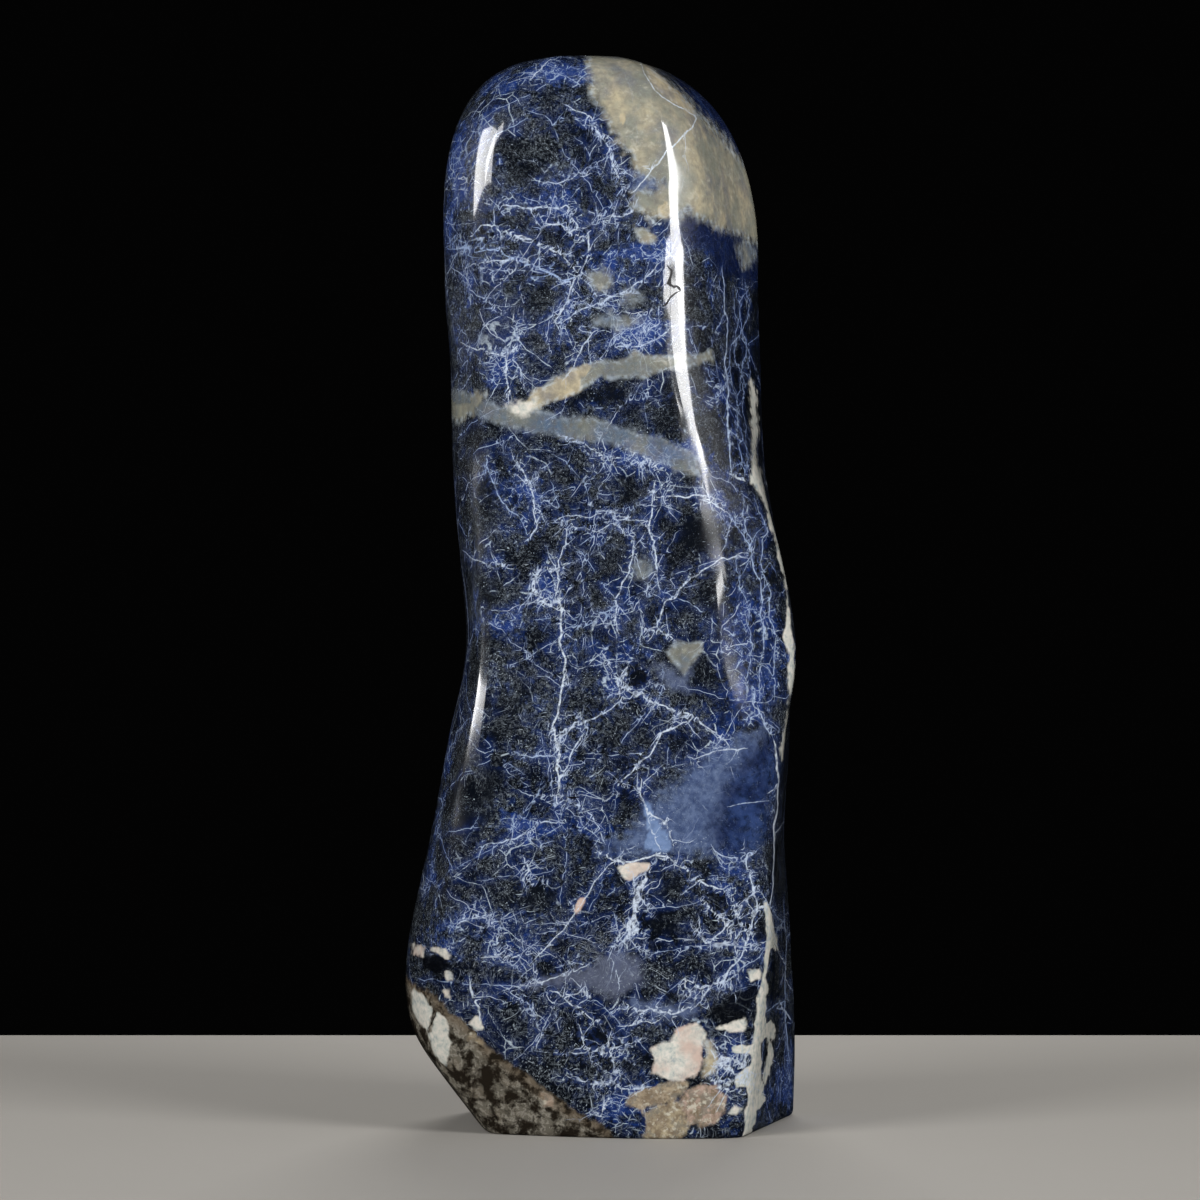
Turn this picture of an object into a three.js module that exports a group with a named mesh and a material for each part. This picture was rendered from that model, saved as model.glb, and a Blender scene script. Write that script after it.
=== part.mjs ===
// A polished sodalite freeform: one stone, ground to a few soft faces, domed on top
// and sawn flat underneath so that it stands.
// Millimetres, +Z up. The front looks along -Y. The origin is on the sawn base,
// under the middle of the stone's box.
import * as THREE from "three";

// Driving dimensions
const HEIGHT = 360.5; // from the sawn base to the top of the dome
const SHOULDER_Z = 290; // the dome starts here
const DOME_CENTRE_X = -1; // the top of the dome, beside the axis
const DOME_POWER_LEFT = 3.3; // superellipse power of the dome: squarer on the left
const DOME_POWER_RIGHT = 2.38; // rounder on the right
const CORNER_POWER = { front: 20, back: 11 }; // how tightly the plan corners are rounded: higher is sharper
const BACK_TURN = 0.5; // sine of the angle at which the softer back corners have taken over
const RIDGE_REACH = 0.3; // radians either side of the front-right ridge that its own power covers
const BASE_EDGE = { height: 2, inset: 1.2, rings: [0, 0.15, 0.5] }; // the eased edge round the sawn base

// The ground faces stand between these plan corners, listed counter-clockwise from above.
const CORNERS = ["frontLeft", "frontRight", "bevel", "backRight", "back", "backLeft", "left"];
// Each row gives the corners' x and y at one height, and the power of the front-right ridge.
const SECTIONS = [
  { z: 0, frontLeft: [-52, -47], frontRight: [38, -47], bevel: [46, -44],
    backRight: [68, 33], back: [10, 48], backLeft: [-52, 42], left: [-66, -14], ridge: 40 },
  { z: 30, frontLeft: [-52, -47], frontRight: [45, -47], bevel: [50, -43],
    backRight: [68.5, 36], back: [10, 51], backLeft: [-55, 43], left: [-68, -14], ridge: 40 },
  { z: 60, frontLeft: [-53, -46], frontRight: [50, -46], bevel: [55, -41],
    backRight: [66.5, 38], back: [8, 53], backLeft: [-56, 43], left: [-68, -14], ridge: 36 },
  { z: 95, frontLeft: [-49, -45], frontRight: [53, -45], bevel: [57, -39],
    backRight: [63.5, 39], back: [9, 52], backLeft: [-53, 43], left: [-60.5, -14], ridge: 30 },
  { z: 130, frontLeft: [-43, -44], frontRight: [50, -44], bevel: [60, -34],
    backRight: [65, 37], back: [12, 49], backLeft: [-49, 42], left: [-53.5, -14], ridge: 26 },
  { z: 160, frontLeft: [-40, -43], frontRight: [42, -43], bevel: [65, -25],
    backRight: [64, 34], back: [14, 46], backLeft: [-45, 40], left: [-47.5, -13], ridge: 30 },
  { z: 190, frontLeft: [-40, -42], frontRight: [38, -42], bevel: [60, -24],
    backRight: [61, 32], back: [12, 44], backLeft: [-46, 38], left: [-49.5, -13], ridge: 44 },
  { z: 225, frontLeft: [-40, -41], frontRight: [30, -41], bevel: [49, -24],
    backRight: [57, 31], back: [7, 43], backLeft: [-48, 36], left: [-52, -14], ridge: 50 },
  { z: 255, frontLeft: [-39, -40], frontRight: [23, -40], bevel: [40, -25],
    backRight: [56.5, 31], back: [3, 43], backLeft: [-49, 36], left: [-52.5, -14], ridge: 34 },
  { z: 280, frontLeft: [-39, -39], frontRight: [22, -39], bevel: [37, -25],
    backRight: [56, 31], back: [3, 43], backLeft: [-50, 35], left: [-54.5, -15], ridge: 24 },
  { z: 310, frontLeft: [-39, -38], frontRight: [22, -38], bevel: [36, -25],
    backRight: [56, 30], back: [4, 42], backLeft: [-50, 35], left: [-55, -15], ridge: 50 },
  { z: HEIGHT, frontLeft: [-39, -37], frontRight: [22, -37], bevel: [36, -25],
    backRight: [56, 30], back: [4, 41], backLeft: [-50, 35], left: [-55, -15], ridge: 50 },
];

// Flat cuts that slant through the lower left of the stone: an outward normal and a point on each.
const CUTS = [
  { normal: new THREE.Vector3(-0.3, -0.9, -0.31), point: new THREE.Vector3(-1, -46, 2.6) },
  { normal: new THREE.Vector3(-0.79, -0.09, -0.613), point: new THREE.Vector3(-41, -10, 0) },
].map(({ normal, point }) => {
  return new THREE.Plane().setFromNormalAndCoplanarPoint(normal.normalize(), point);
});

// Grid of the faceted surface
const COLUMNS = 80;
const BODY_ROWS = 30; // from the eased base edge up to the shoulder
const DOME_ROWS = 11; // from the shoulder to the row under the top

const RIDGE_CORNER = CORNERS.indexOf("frontRight");
const sectionAt = new THREE.CubicInterpolant(
  SECTIONS.map((section) => section.z),
  SECTIONS.flatMap((section) => [...CORNERS.flatMap((corner) => section[corner]), section.ridge]),
  2 * CORNERS.length + 1,
);

// The plan outline at one height: the line of each ground face, and the ridge's angle and power.
function planAt(z) {
  const values = [...sectionAt.evaluate(z)];
  const corners = CORNERS.map((_, i) => new THREE.Vector2(values[2 * i], values[2 * i + 1]));
  const faces = corners.map((corner, i) => {
    const along = corners[(i + 1) % corners.length].clone().sub(corner);
    const normal = new THREE.Vector2(along.y, -along.x).normalize();
    return { normal, distance: normal.dot(corner) };
  });
  for (const cut of CUTS) {
    faces.push({
      normal: new THREE.Vector2(cut.normal.x, cut.normal.y),
      distance: -cut.constant - cut.normal.z * z,
    });
  }
  return { faces, ridgeAngle: corners[RIDGE_CORNER].angle(), ridgePower: values.at(-1) };
}

// Distance from the axis to the surface: a smooth minimum of the distances to the faces.
function radiusAt(plan, angle) {
  const ray = new THREE.Vector2(Math.cos(angle), Math.sin(angle));
  const towardsBack = THREE.MathUtils.smoothstep(ray.y, 0, BACK_TURN);
  const cornerPower = THREE.MathUtils.lerp(CORNER_POWER.front, CORNER_POWER.back, towardsBack);
  const turned = THREE.MathUtils.euclideanModulo(angle - plan.ridgeAngle + Math.PI, 2 * Math.PI) - Math.PI;
  const nearRidge = Math.exp(-((turned / RIDGE_REACH) ** 2));
  const power = THREE.MathUtils.lerp(cornerPower, plan.ridgePower, nearRidge);
  let sum = 0;
  for (const face of plan.faces) {
    sum += Math.max(0, face.normal.dot(ray) / face.distance) ** power;
  }
  return sum ** (-1 / power);
}

// How far the dome has closed in at a height: 1 at the shoulder, 0 at the top.
function domeShare(angle, z) {
  const risen = Math.max(0, (z - SHOULDER_Z) / (HEIGHT - SHOULDER_Z));
  const power = THREE.MathUtils.lerp(DOME_POWER_LEFT, DOME_POWER_RIGHT, (1 + Math.cos(angle)) / 2);
  return (1 - risen ** power) ** (1 / power);
}

// How far the base edge is eased in at a height, as a quarter circle squashed to its size.
function baseInset(z) {
  const below = Math.max(0, 1 - z / BASE_EDGE.height);
  return BASE_EDGE.inset * (1 - Math.sqrt(1 - below * below));
}

function ring(z) {
  const plan = planAt(z);
  return Array.from({ length: COLUMNS }, (_, i) => {
    const angle = (2 * Math.PI * i) / COLUMNS;
    const radius = radiusAt(plan, angle) - baseInset(z);
    const share = domeShare(angle, z);
    return new THREE.Vector3(
      THREE.MathUtils.lerp(DOME_CENTRE_X, radius * Math.cos(angle), share),
      radius * Math.sin(angle) * share,
      z,
    );
  });
}

// Ring heights: the eased base edge, even steps up the body, then even turns over the dome.
function ringHeights() {
  const heights = BASE_EDGE.rings.map((share) => share * BASE_EDGE.height);
  for (let i = 0; i <= BODY_ROWS; i += 1) {
    heights.push(THREE.MathUtils.lerp(BASE_EDGE.height, SHOULDER_Z, i / BODY_ROWS));
  }
  for (let i = 1; i <= DOME_ROWS; i += 1) {
    const turn = (Math.PI / 2) * (i / (DOME_ROWS + 1));
    heights.push(THREE.MathUtils.lerp(SHOULDER_Z, HEIGHT, Math.sin(turn)));
  }
  return heights;
}

function stoneGeometry() {
  const rings = ringHeights().map(ring);
  const base = new THREE.Vector3(0, 0, 0);
  const top = new THREE.Vector3(DOME_CENTRE_X, 0, HEIGHT);
  const points = [...rings.flat(), base, top];
  const baseIndex = points.length - 2;
  const topIndex = points.length - 1;
  const triangles = [];
  for (let column = 0; column < COLUMNS; column += 1) {
    const next = (column + 1) % COLUMNS;
    triangles.push(baseIndex, next, column);
    for (let row = 0; row + 1 < rings.length; row += 1) {
      const here = row * COLUMNS;
      const above = here + COLUMNS;
      triangles.push(here + column, here + next, above + next);
      triangles.push(here + column, above + next, above + column);
    }
    const last = (rings.length - 1) * COLUMNS;
    triangles.push(last + column, last + next, topIndex);
  }
  const geometry = new THREE.BufferGeometry().setFromPoints(points).setIndex(triangles);
  geometry.computeBoundingBox();
  const middle = geometry.boundingBox.getCenter(new THREE.Vector3());
  geometry.translate(-middle.x, -middle.y, 0);
  geometry.computeVertexNormals();
  return geometry;
}

const stone = new THREE.Mesh(
  stoneGeometry(),
  new THREE.MeshStandardMaterial({ color: 0x1b2440, roughness: 0.12, metalness: 0 }),
);
stone.name = "sodalite";

const freeform = new THREE.Group();
freeform.add(stone);

export default freeform;
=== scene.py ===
"""A tall polished freeform of sodalite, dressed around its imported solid.

The stone is one closed skin worked out from its plan corners. Its markings are drawn in the square frame
that the camera fills, 1200 units to a side, laid onto the skin, and kept there as attributes that the
material reads. Lengths on the stone are in millimetres until a mesh is made, and metres after that.
"""

from __future__ import annotations

import logging
from dataclasses import dataclass, field
from enum import Enum
from functools import reduce
from typing import Any

import bpy
import numpy as np
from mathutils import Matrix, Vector

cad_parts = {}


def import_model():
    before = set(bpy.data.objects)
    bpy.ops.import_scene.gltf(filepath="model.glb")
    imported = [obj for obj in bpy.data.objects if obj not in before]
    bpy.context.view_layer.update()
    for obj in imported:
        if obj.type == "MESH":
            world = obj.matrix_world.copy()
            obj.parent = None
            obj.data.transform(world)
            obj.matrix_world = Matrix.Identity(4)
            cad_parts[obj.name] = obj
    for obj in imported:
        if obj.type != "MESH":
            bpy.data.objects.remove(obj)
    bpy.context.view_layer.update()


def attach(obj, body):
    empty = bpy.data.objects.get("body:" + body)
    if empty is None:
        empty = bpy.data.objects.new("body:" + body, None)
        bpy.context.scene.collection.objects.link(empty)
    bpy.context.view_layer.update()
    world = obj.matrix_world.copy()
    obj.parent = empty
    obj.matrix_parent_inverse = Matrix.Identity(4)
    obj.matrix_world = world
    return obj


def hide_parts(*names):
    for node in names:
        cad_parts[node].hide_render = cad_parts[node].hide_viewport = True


LOG = logging.getLogger("sodalite")
MM = 0.001
FRAME_UNITS = 1200.0
MM_PER_UNIT = 0.328  # on the stone's front
ORIGIN = (0.0, 0.0, 0.0)
TINY = 1e-9  # keeps a division or a power from zero
Pair = tuple[float, float]
Colour = tuple[float, float, float, float]
Socket = Any
Outputs = Any


def shade(red: float, green: float, blue: float) -> Colour:
    """Turns a display colour of 0 to 255 a channel into a linear one.

    Args:
        red: display red.
        green: display green.
        blue: display blue.

    Returns:
        Linear red, green, blue, and an alpha of 1.
    """
    display = np.array([red, green, blue]) / 255.0
    linear = np.where(display <= 0.04045, display / 12.92, ((display + 0.055) / 1.055) ** 2.4)
    return float(linear[0]), float(linear[1]), float(linear[2]), 1.0


def smooth(value: np.ndarray, low: float, high: float) -> np.ndarray:
    """Runs from 0 at low to 1 at high along 3t² - 2t³."""
    part = np.clip((value - low) / (high - low), 0.0, 1.0)
    return part * part * (3.0 - 2.0 * part)


# ---- The shape of the stone ----


@dataclass(frozen=True)
class Section:
    """The plan corners at one height, counter-clockwise from above, and how sharp the front ridge is."""

    z: float
    front_left: Pair
    front_right: Pair
    bevel: Pair
    back_right: Pair
    back: Pair
    back_left: Pair
    left: Pair
    ridge: float

    def row(self) -> list[float]:
        """Lists the corners' x and y in turn, then the ridge's power."""
        corners = (*self.front_left, *self.front_right, *self.bevel, *self.back_right)
        return [*corners, *self.back, *self.back_left, *self.left, self.ridge]


@dataclass(frozen=True)
class Cut:
    """A flat cut that slants through the stone: an outward normal and a point on it."""

    normal: tuple[float, float, float]
    point: tuple[float, float, float]


@dataclass(frozen=True)
class Wave:
    """A slow wave: how often it goes round, its turn in radians per mm of height, its start and size."""

    turns: int
    rise: float
    start: float
    size: float


@dataclass(frozen=True)
class Freeform:
    """The stone's outer form, as a distance from its axis for every angle and height."""

    height: float = 360.5
    shoulder: float = 290.0
    dome_centre_x: float = -1.0
    dome_power_left: float = 3.3
    dome_power_right: float = 2.38
    corner_power_front: float = 20.0
    corner_power_back: float = 11.0
    back_turn: float = 0.5
    ridge_reach: float = 0.3
    base_edge_height: float = 2.0
    base_edge_inset: float = 1.2
    ripple: float = 0.10
    ripple_fade: Pair = (3.0, 25.0)
    waves: tuple[Wave, ...] = (
        Wave(3, 0.071, 0.3, 1.0),
        Wave(5, -0.113, 1.9, 0.7),
        Wave(8, 0.167, 4.1, 0.5),
        Wave(11, -0.059, 2.6, 0.4),
    )
    sections: tuple[Section, ...] = (
        Section(0, (-52, -47), (38, -47), (46, -44), (68, 33), (10, 48), (-52, 42), (-66, -14), 40),
        Section(30, (-52, -47), (45, -47), (50, -43), (68.5, 36), (10, 51), (-55, 43), (-68, -14), 40),
        Section(60, (-53, -46), (50, -46), (55, -41), (66.5, 38), (8, 53), (-56, 43), (-68, -14), 36),
        Section(95, (-49, -45), (53, -45), (57, -39), (63.5, 39), (9, 52), (-53, 43), (-60.5, -14), 30),
        Section(130, (-43, -44), (50, -44), (60, -34), (65, 37), (12, 49), (-49, 42), (-53.5, -14), 26),
        Section(160, (-40, -43), (42, -43), (65, -25), (64, 34), (14, 46), (-45, 40), (-47.5, -13), 30),
        Section(190, (-40, -42), (38, -42), (60, -24), (61, 32), (12, 44), (-46, 38), (-49.5, -13), 44),
        Section(225, (-40, -41), (30, -41), (49, -24), (57, 31), (7, 43), (-48, 36), (-52, -14), 50),
        Section(255, (-39, -40), (23, -40), (40, -25), (56.5, 31), (3, 43), (-49, 36), (-52.5, -14), 34),
        Section(280, (-39, -39), (22, -39), (37, -25), (56, 31), (3, 43), (-50, 35), (-54.5, -15), 24),
        Section(310, (-39, -38), (22, -38), (36, -25), (56, 30), (4, 42), (-50, 35), (-55, -15), 50),
        Section(360.5, (-39, -37), (22, -37), (36, -25), (56, 30), (4, 41), (-50, 35), (-55, -15), 50),
    )
    cuts: tuple[Cut, ...] = (
        Cut((-0.30, -0.90, -0.31), (-1, -46, 2.6)),
        Cut((-0.79, -0.09, -0.613), (-41, -10, 0)),
    )

    def _section_values(self, heights: np.ndarray) -> np.ndarray:
        """Runs a cubic through each column of the sections, its slope the mean of the steps on either side.

        Args:
            heights: heights in mm.

        Returns:
            One row of corner coordinates and ridge power per height.
        """
        at = np.array([section.z for section in self.sections])
        values = np.array([section.row() for section in self.sections])
        steps = (values[1:] - values[:-1]) / np.diff(at)[:, None]
        slopes = np.concatenate([steps[:1], 0.5 * (steps[1:] + steps[:-1]), steps[-1:]])
        low = np.clip(np.searchsorted(at, heights) - 1, 0, len(at) - 2)
        span = (at[low + 1] - at[low])[:, None]
        part = (heights[:, None] - at[low][:, None]) / span
        return (
            (2 * part**3 - 3 * part**2 + 1) * values[low]
            + (part**3 - 2 * part**2 + part) * span * slopes[low]
            + (3 * part**2 - 2 * part**3) * values[low + 1]
            + (part**3 - part**2) * span * slopes[low + 1]
        )

    def _face_lines(self, heights: np.ndarray) -> tuple[np.ndarray, np.ndarray, np.ndarray, np.ndarray]:
        """Finds each ground face's line in the plan at each height.

        Args:
            heights: heights in mm.

        Returns:
            Outward normals (height, face, 2), distances from the axis (height, face), and the ridge's angle
            and power (height).
        """
        values = self._section_values(heights)
        corners = values[:, :-1].reshape(len(heights), -1, 2)
        along = np.roll(corners, -1, axis=1) - corners
        normals = np.stack([along[..., 1], -along[..., 0]], axis=-1)
        normals /= np.linalg.norm(normals, axis=-1, keepdims=True)
        distances = (normals * corners).sum(axis=-1)
        for cut in self.cuts:
            normal = np.array(cut.normal) / np.linalg.norm(cut.normal)
            distance = normal @ np.array(cut.point) - normal[2] * heights
            flat = np.broadcast_to(normal[:2], (len(heights), 1, 2))
            normals = np.concatenate([normals, flat], axis=1)
            distances = np.concatenate([distances, distance[:, None]], axis=1)
        ridge_angle = np.arctan2(corners[:, 1, 1], corners[:, 1, 0])
        return normals, distances, ridge_angle, values[:, -1]

    def radius(self, angles: np.ndarray, heights: np.ndarray) -> np.ndarray:
        """Takes a smooth minimum of the distances to the faces: (sum of (1/distance)^p)^(-1/p).

        Args:
            angles: angles round the axis, in radians.
            heights: heights in mm.

        Returns:
            Distance from the axis to the skin (height, angle).
        """
        normals, distances, ridge_angle, ridge_power = self._face_lines(heights)
        rays = np.stack([np.cos(angles), np.sin(angles)], axis=-1)
        to_back = smooth(np.sin(angles), 0.0, self.back_turn)
        corner = self.corner_power_front + (self.corner_power_back - self.corner_power_front) * to_back
        turned = (angles[None, :] - ridge_angle[:, None] + np.pi) % (2 * np.pi) - np.pi
        near_ridge = np.exp(-((turned / self.ridge_reach) ** 2))
        power = corner[None, :] + (ridge_power[:, None] - corner[None, :]) * near_ridge
        total = np.zeros_like(power)
        for face in range(distances.shape[1]):
            nearness = (normals[:, face] @ rays.T) / distances[:, face][:, None]
            total += np.clip(nearness, TINY, None) ** power
        return total ** (-1.0 / power)

    def _ripple(self, angles: np.ndarray, heights: np.ndarray) -> np.ndarray:
        """Adds up slow waves round and up the stone, the unevenness that hand grinding leaves.

        Args:
            angles: angles round the axis, in radians.
            heights: heights in mm.

        Returns:
            The unevenness in mm (height, angle).
        """
        total = np.zeros((len(heights), len(angles)))
        for wave in self.waves:
            phase = wave.turns * angles[None, :] + wave.rise * heights[:, None] + wave.start
            total += wave.size * np.sin(phase)
        ends = smooth(heights, *self.ripple_fade) * smooth(self.height - heights, *self.ripple_fade)
        return self.ripple * total * ends[:, None]

    def points(self, angles: np.ndarray, heights: np.ndarray) -> np.ndarray:
        """Closes the radius over the dome by (1 - risen^n)^(1/n), and in at the base by a quarter circle.

        Args:
            angles: angles round the axis, in radians.
            heights: heights in mm.

        Returns:
            Points of the skin (height, angle, 3) in mm.
        """
        below = np.clip(1.0 - heights / self.base_edge_height, 0.0, 1.0)
        inset = self.base_edge_inset * (1.0 - np.sqrt(1.0 - below * below))
        radius = self.radius(angles, heights) + self._ripple(angles, heights) - inset[:, None]
        risen = np.clip((heights - self.shoulder) / (self.height - self.shoulder), 0.0, 1.0)[:, None]
        to_right = (1.0 + np.cos(angles))[None, :] / 2.0
        power = self.dome_power_left + (self.dome_power_right - self.dome_power_left) * to_right
        share = (1.0 - risen**power) ** (1.0 / power)
        x = self.dome_centre_x * (1.0 - share) + radius * np.cos(angles) * share
        y = radius * np.sin(angles) * share
        z = np.broadcast_to(heights[:, None], x.shape)
        return np.stack([x, y, z], axis=-1)


@dataclass(frozen=True)
class Skin:
    """The grid that the stone's skin is worked out on: fine on the front, coarser round the back."""

    form: Freeform = field(default_factory=Freeform)
    columns: int = 286
    body_rows: int = 268
    dome_rows: int = 70
    edge_shares: tuple[float, ...] = (0.0, 0.08, 0.25, 0.55)
    front_step: float = 0.72
    side_step: float = 1.0
    back_step: float = 3.0
    waist: float = 0.42  # of the height, where the columns are spaced out
    dome_radius: float = 45.0

    def angles(self) -> np.ndarray:
        """Spaces the columns so that their distance along the waist's outline follows the three steps.

        Returns:
            Angles round the axis, in radians.
        """
        fine = np.linspace(-np.pi, np.pi, 4001) + np.pi / 2
        outline = self.form.points(fine, np.array([self.waist * self.form.height]))[0, :, :2]
        length = np.linalg.norm(np.diff(outline, axis=0), axis=1)
        middle = 0.5 * (fine[1:] + fine[:-1])
        facing = -np.sin(middle)
        rightward = np.cos(middle)
        step = self.front_step + (self.side_step - self.front_step) * smooth(-facing, -0.75, -0.35)
        hidden = smooth(-facing, 0.0, 0.5) * smooth(-rightward, -0.95, -0.6)
        step = step + (self.back_step - step) * np.maximum(hidden, smooth(-facing, 0.55, 0.8))
        run = np.concatenate([[0.0], np.cumsum(length / step)])
        share = np.arange(self.columns) / self.columns * run[-1]
        return np.interp(share, run, fine)

    def heights(self) -> np.ndarray:
        """Spaces the rows evenly up the body, then evenly along the dome's curve.

        Returns:
            Heights in mm, from the base to just under the top.
        """
        form = self.form
        edge = np.array(self.edge_shares) * form.base_edge_height
        body = np.linspace(form.base_edge_height, form.shoulder, self.body_rows + 1)
        turn = np.linspace(0.0, np.pi / 2, 2001)
        power = 0.5 * (form.dome_power_left + form.dome_power_right)
        rise = np.sin(turn) ** (2.0 / power)
        close = np.cos(turn) ** (2.0 / power)
        reach = form.height - form.shoulder
        steps = np.hypot(np.diff(rise) * reach, np.diff(close) * self.dome_radius)
        run = np.concatenate([[0.0], np.cumsum(steps)])
        share = np.arange(1, self.dome_rows + 1) / (self.dome_rows + 1) * run[-1]
        dome = form.shoulder + reach * np.interp(share, run, rise)
        return np.concatenate([edge, body, dome])


@dataclass
class StoneMesh:
    """The skin as points and faces, with each point's outward normal. Millimetres."""

    points: np.ndarray
    normals: np.ndarray
    faces: list[tuple[int, ...]]
    rows: int
    columns: int
    shift: np.ndarray

    @classmethod
    def build(cls, skin: Skin) -> StoneMesh:
        """Works out the grid, closes it with a point under the base and one at the top, and centres it.

        Args:
            skin: the grid to work it out on.

        Returns:
            The closed skin, centred over the origin and standing on it.
        """
        angles = skin.angles()
        heights = skin.heights()
        grid = skin.form.points(angles, heights)
        rows, columns = grid.shape[:2]
        across = np.roll(grid, -1, axis=1) - np.roll(grid, 1, axis=1)
        up = np.gradient(grid, axis=0)
        normals = np.cross(across, up)
        normals /= np.linalg.norm(normals, axis=-1, keepdims=True)
        top = np.array([skin.form.dome_centre_x, 0.0, skin.form.height])
        points = np.concatenate([grid.reshape(-1, 3), np.zeros((1, 3)), top[None]])
        ends = np.array([[0.0, 0.0, -1.0], [0.0, 0.0, 1.0]])
        normals = np.concatenate([normals.reshape(-1, 3), ends])
        middle = 0.5 * (points.max(axis=0) + points.min(axis=0))
        shift = np.array([-middle[0], -middle[1], 0.0])
        faces = cls._faces(rows, columns)
        return cls(points + shift, normals, faces, rows, columns, shift)

    def rows_between(self, low: float, high: float) -> slice:
        """Finds the rows between two heights.

        Args:
            low: the lower height in mm.
            high: the upper height.

        Returns:
            The points of those rows.
        """
        heights = self.points[: self.rows * self.columns : self.columns, 2]
        first, last = np.searchsorted(heights, [low, high])
        return slice(int(first) * self.columns, int(last) * self.columns)

    @staticmethod
    def _faces(rows: int, columns: int) -> list[tuple[int, ...]]:
        """Joins the grid's neighbours into four-sided faces, and fans its end rows to the end points.

        Args:
            rows: how many rows the grid has.
            columns: how many columns.

        Returns:
            The corners of each face.
        """
        index = np.arange(rows * columns).reshape(rows, columns)
        after = np.roll(index, -1, axis=1)
        sides = np.stack([index[:-1], after[:-1], after[1:], index[1:]], axis=-1).reshape(-1, 4)
        under = np.full(columns, rows * columns)
        base = np.stack([under, after[0], index[0]], axis=-1)
        top = np.stack([index[-1], after[-1], under + 1], axis=-1)
        return [*map(tuple, sides.tolist()), *map(tuple, base.tolist()), *map(tuple, top.tolist())]


# ---- Laying markings onto the skin ----


@dataclass(frozen=True)
class Viewpoint:
    """A level eye, and the square frame that its view fills, 1200 units to a side with v downwards."""

    eye: tuple[float, float, float]
    ahead: Pair
    focal: float = 4573.0

    def _axes(self) -> tuple[np.ndarray, np.ndarray]:
        """Gives the forward and the rightward direction."""
        east, north = self.ahead
        return np.array([east, north, 0.0]), np.array([north, -east, 0.0])

    def project(self, points: np.ndarray) -> np.ndarray:
        """Projects points into the frame: centre plus focal length times offset over depth.

        Args:
            points: points in mm.

        Returns:
            Their places in frame units.
        """
        forward, right = self._axes()
        offset = points - np.array(self.eye)
        depth = offset @ forward
        u = FRAME_UNITS / 2 + self.focal * (offset @ right) / depth
        v = FRAME_UNITS / 2 - self.focal * offset[:, 2] / depth
        return np.stack([u, v], axis=-1)

    def rays(self, places: np.ndarray) -> np.ndarray:
        """Works out the rays from the eye through places in the frame.

        Args:
            places: places in frame units.

        Returns:
            The rays' directions.
        """
        forward, right = self._axes()
        side = (places[:, 0] - FRAME_UNITS / 2) / self.focal
        rise = (FRAME_UNITS / 2 - places[:, 1]) / self.focal
        return forward + side[:, None] * right + rise[:, None] * np.array([0.0, 0.0, 1.0])


class Pen:
    """Lays drawn lines and outlines onto the skin as seen from one viewpoint."""

    REACH = 7.0  # frame units from a place to the nearest point of the skin, past which it is off the stone
    RIM_RUN = 34.0  # mm of fading run past the rim, per unit of the turn's cosine
    STRAY = 4.0  # mm from that point, past which a landed place is put on the point itself
    EDGE_ON = 0.03  # the least cosine to the view at which a line can land

    def __init__(self, mesh: StoneMesh, view: Viewpoint, turn_limit: float) -> None:
        """Projects the skin once.

        Args:
            mesh: the stone's skin.
            view: where it is drawn from.
            turn_limit: how far round a marking may run on, as the cosine of the angle to the view.
        """
        self.mesh = mesh
        self.view = view
        self.turn_limit = turn_limit
        towards = np.array(view.eye) - mesh.points
        towards /= np.linalg.norm(towards, axis=1, keepdims=True)
        self.facing = (towards * mesh.normals).sum(axis=1)
        self.places = view.project(mesh.points)
        self.seen = np.flatnonzero(self.facing > max(self.EDGE_ON, turn_limit))

    def land(self, drawn: np.ndarray) -> tuple[np.ndarray, np.ndarray]:
        """Drops each drawn place onto the skin: its ray meets the plane of the nearest skin point.

        Args:
            drawn: places in frame units.

        Returns:
            Points on the skin in mm, and whether each place lies on the stone at all.
        """
        seen = self._close_by(drawn)
        if not len(seen):
            return np.zeros((len(drawn), 3)), np.zeros(len(drawn), bool)
        gap_u = drawn[:, None, 0] - self.places[seen, 0][None, :]
        gap_v = drawn[:, None, 1] - self.places[seen, 1][None, :]
        squared = gap_u**2 + gap_v**2
        best = squared.argmin(axis=1)
        nearest = seen[best]
        on_stone = squared[np.arange(len(drawn)), best] < self.REACH**2
        anchor = self.mesh.points[nearest]
        normal = self.mesh.normals[nearest]
        eye = np.array(self.view.eye)
        rays = self.view.rays(drawn)
        along = ((anchor - eye) * normal).sum(axis=1) / (rays * normal).sum(axis=1)
        landed = eye + along[:, None] * rays
        off = np.linalg.norm(landed - anchor, axis=1) > self.STRAY
        landed[off] = anchor[off]
        return landed, on_stone

    def _close_by(self, drawn: np.ndarray) -> np.ndarray:
        """Lists the skin points that face the eye and project into the box round some places.

        Args:
            drawn: the places in frame units.

        Returns:
            The skin points' indices.
        """
        places = self.places[self.seen]
        low = drawn.min(axis=0) - self.REACH
        high = drawn.max(axis=0) + self.REACH
        return self.seen[((places > low) & (places < high)).all(axis=1)]

    def inside(self, outline: np.ndarray) -> np.ndarray:
        """Tells which skin points project inside a closed outline, by counting its edges to their right.

        Args:
            outline: its corners in frame units.

        Returns:
            Whether each skin point does.
        """
        low, high = outline.min(axis=0), outline.max(axis=0)
        boxed = ((self.places > low) & (self.places < high)).all(axis=1)
        ends = np.roll(outline, -1, axis=0)
        u, v = self.places[boxed, 0], self.places[boxed, 1]
        odd = np.zeros(len(u), bool)
        for (u0, v0), (u1, v1) in zip(outline, ends):
            crosses = (v0 > v) != (v1 > v)
            rise = v1 - v0 if v1 != v0 else TINY
            odd ^= crosses & (u < (u1 - u0) * (v - v0) / rise + u0)
        boxed[boxed] = odd
        return boxed


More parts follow.
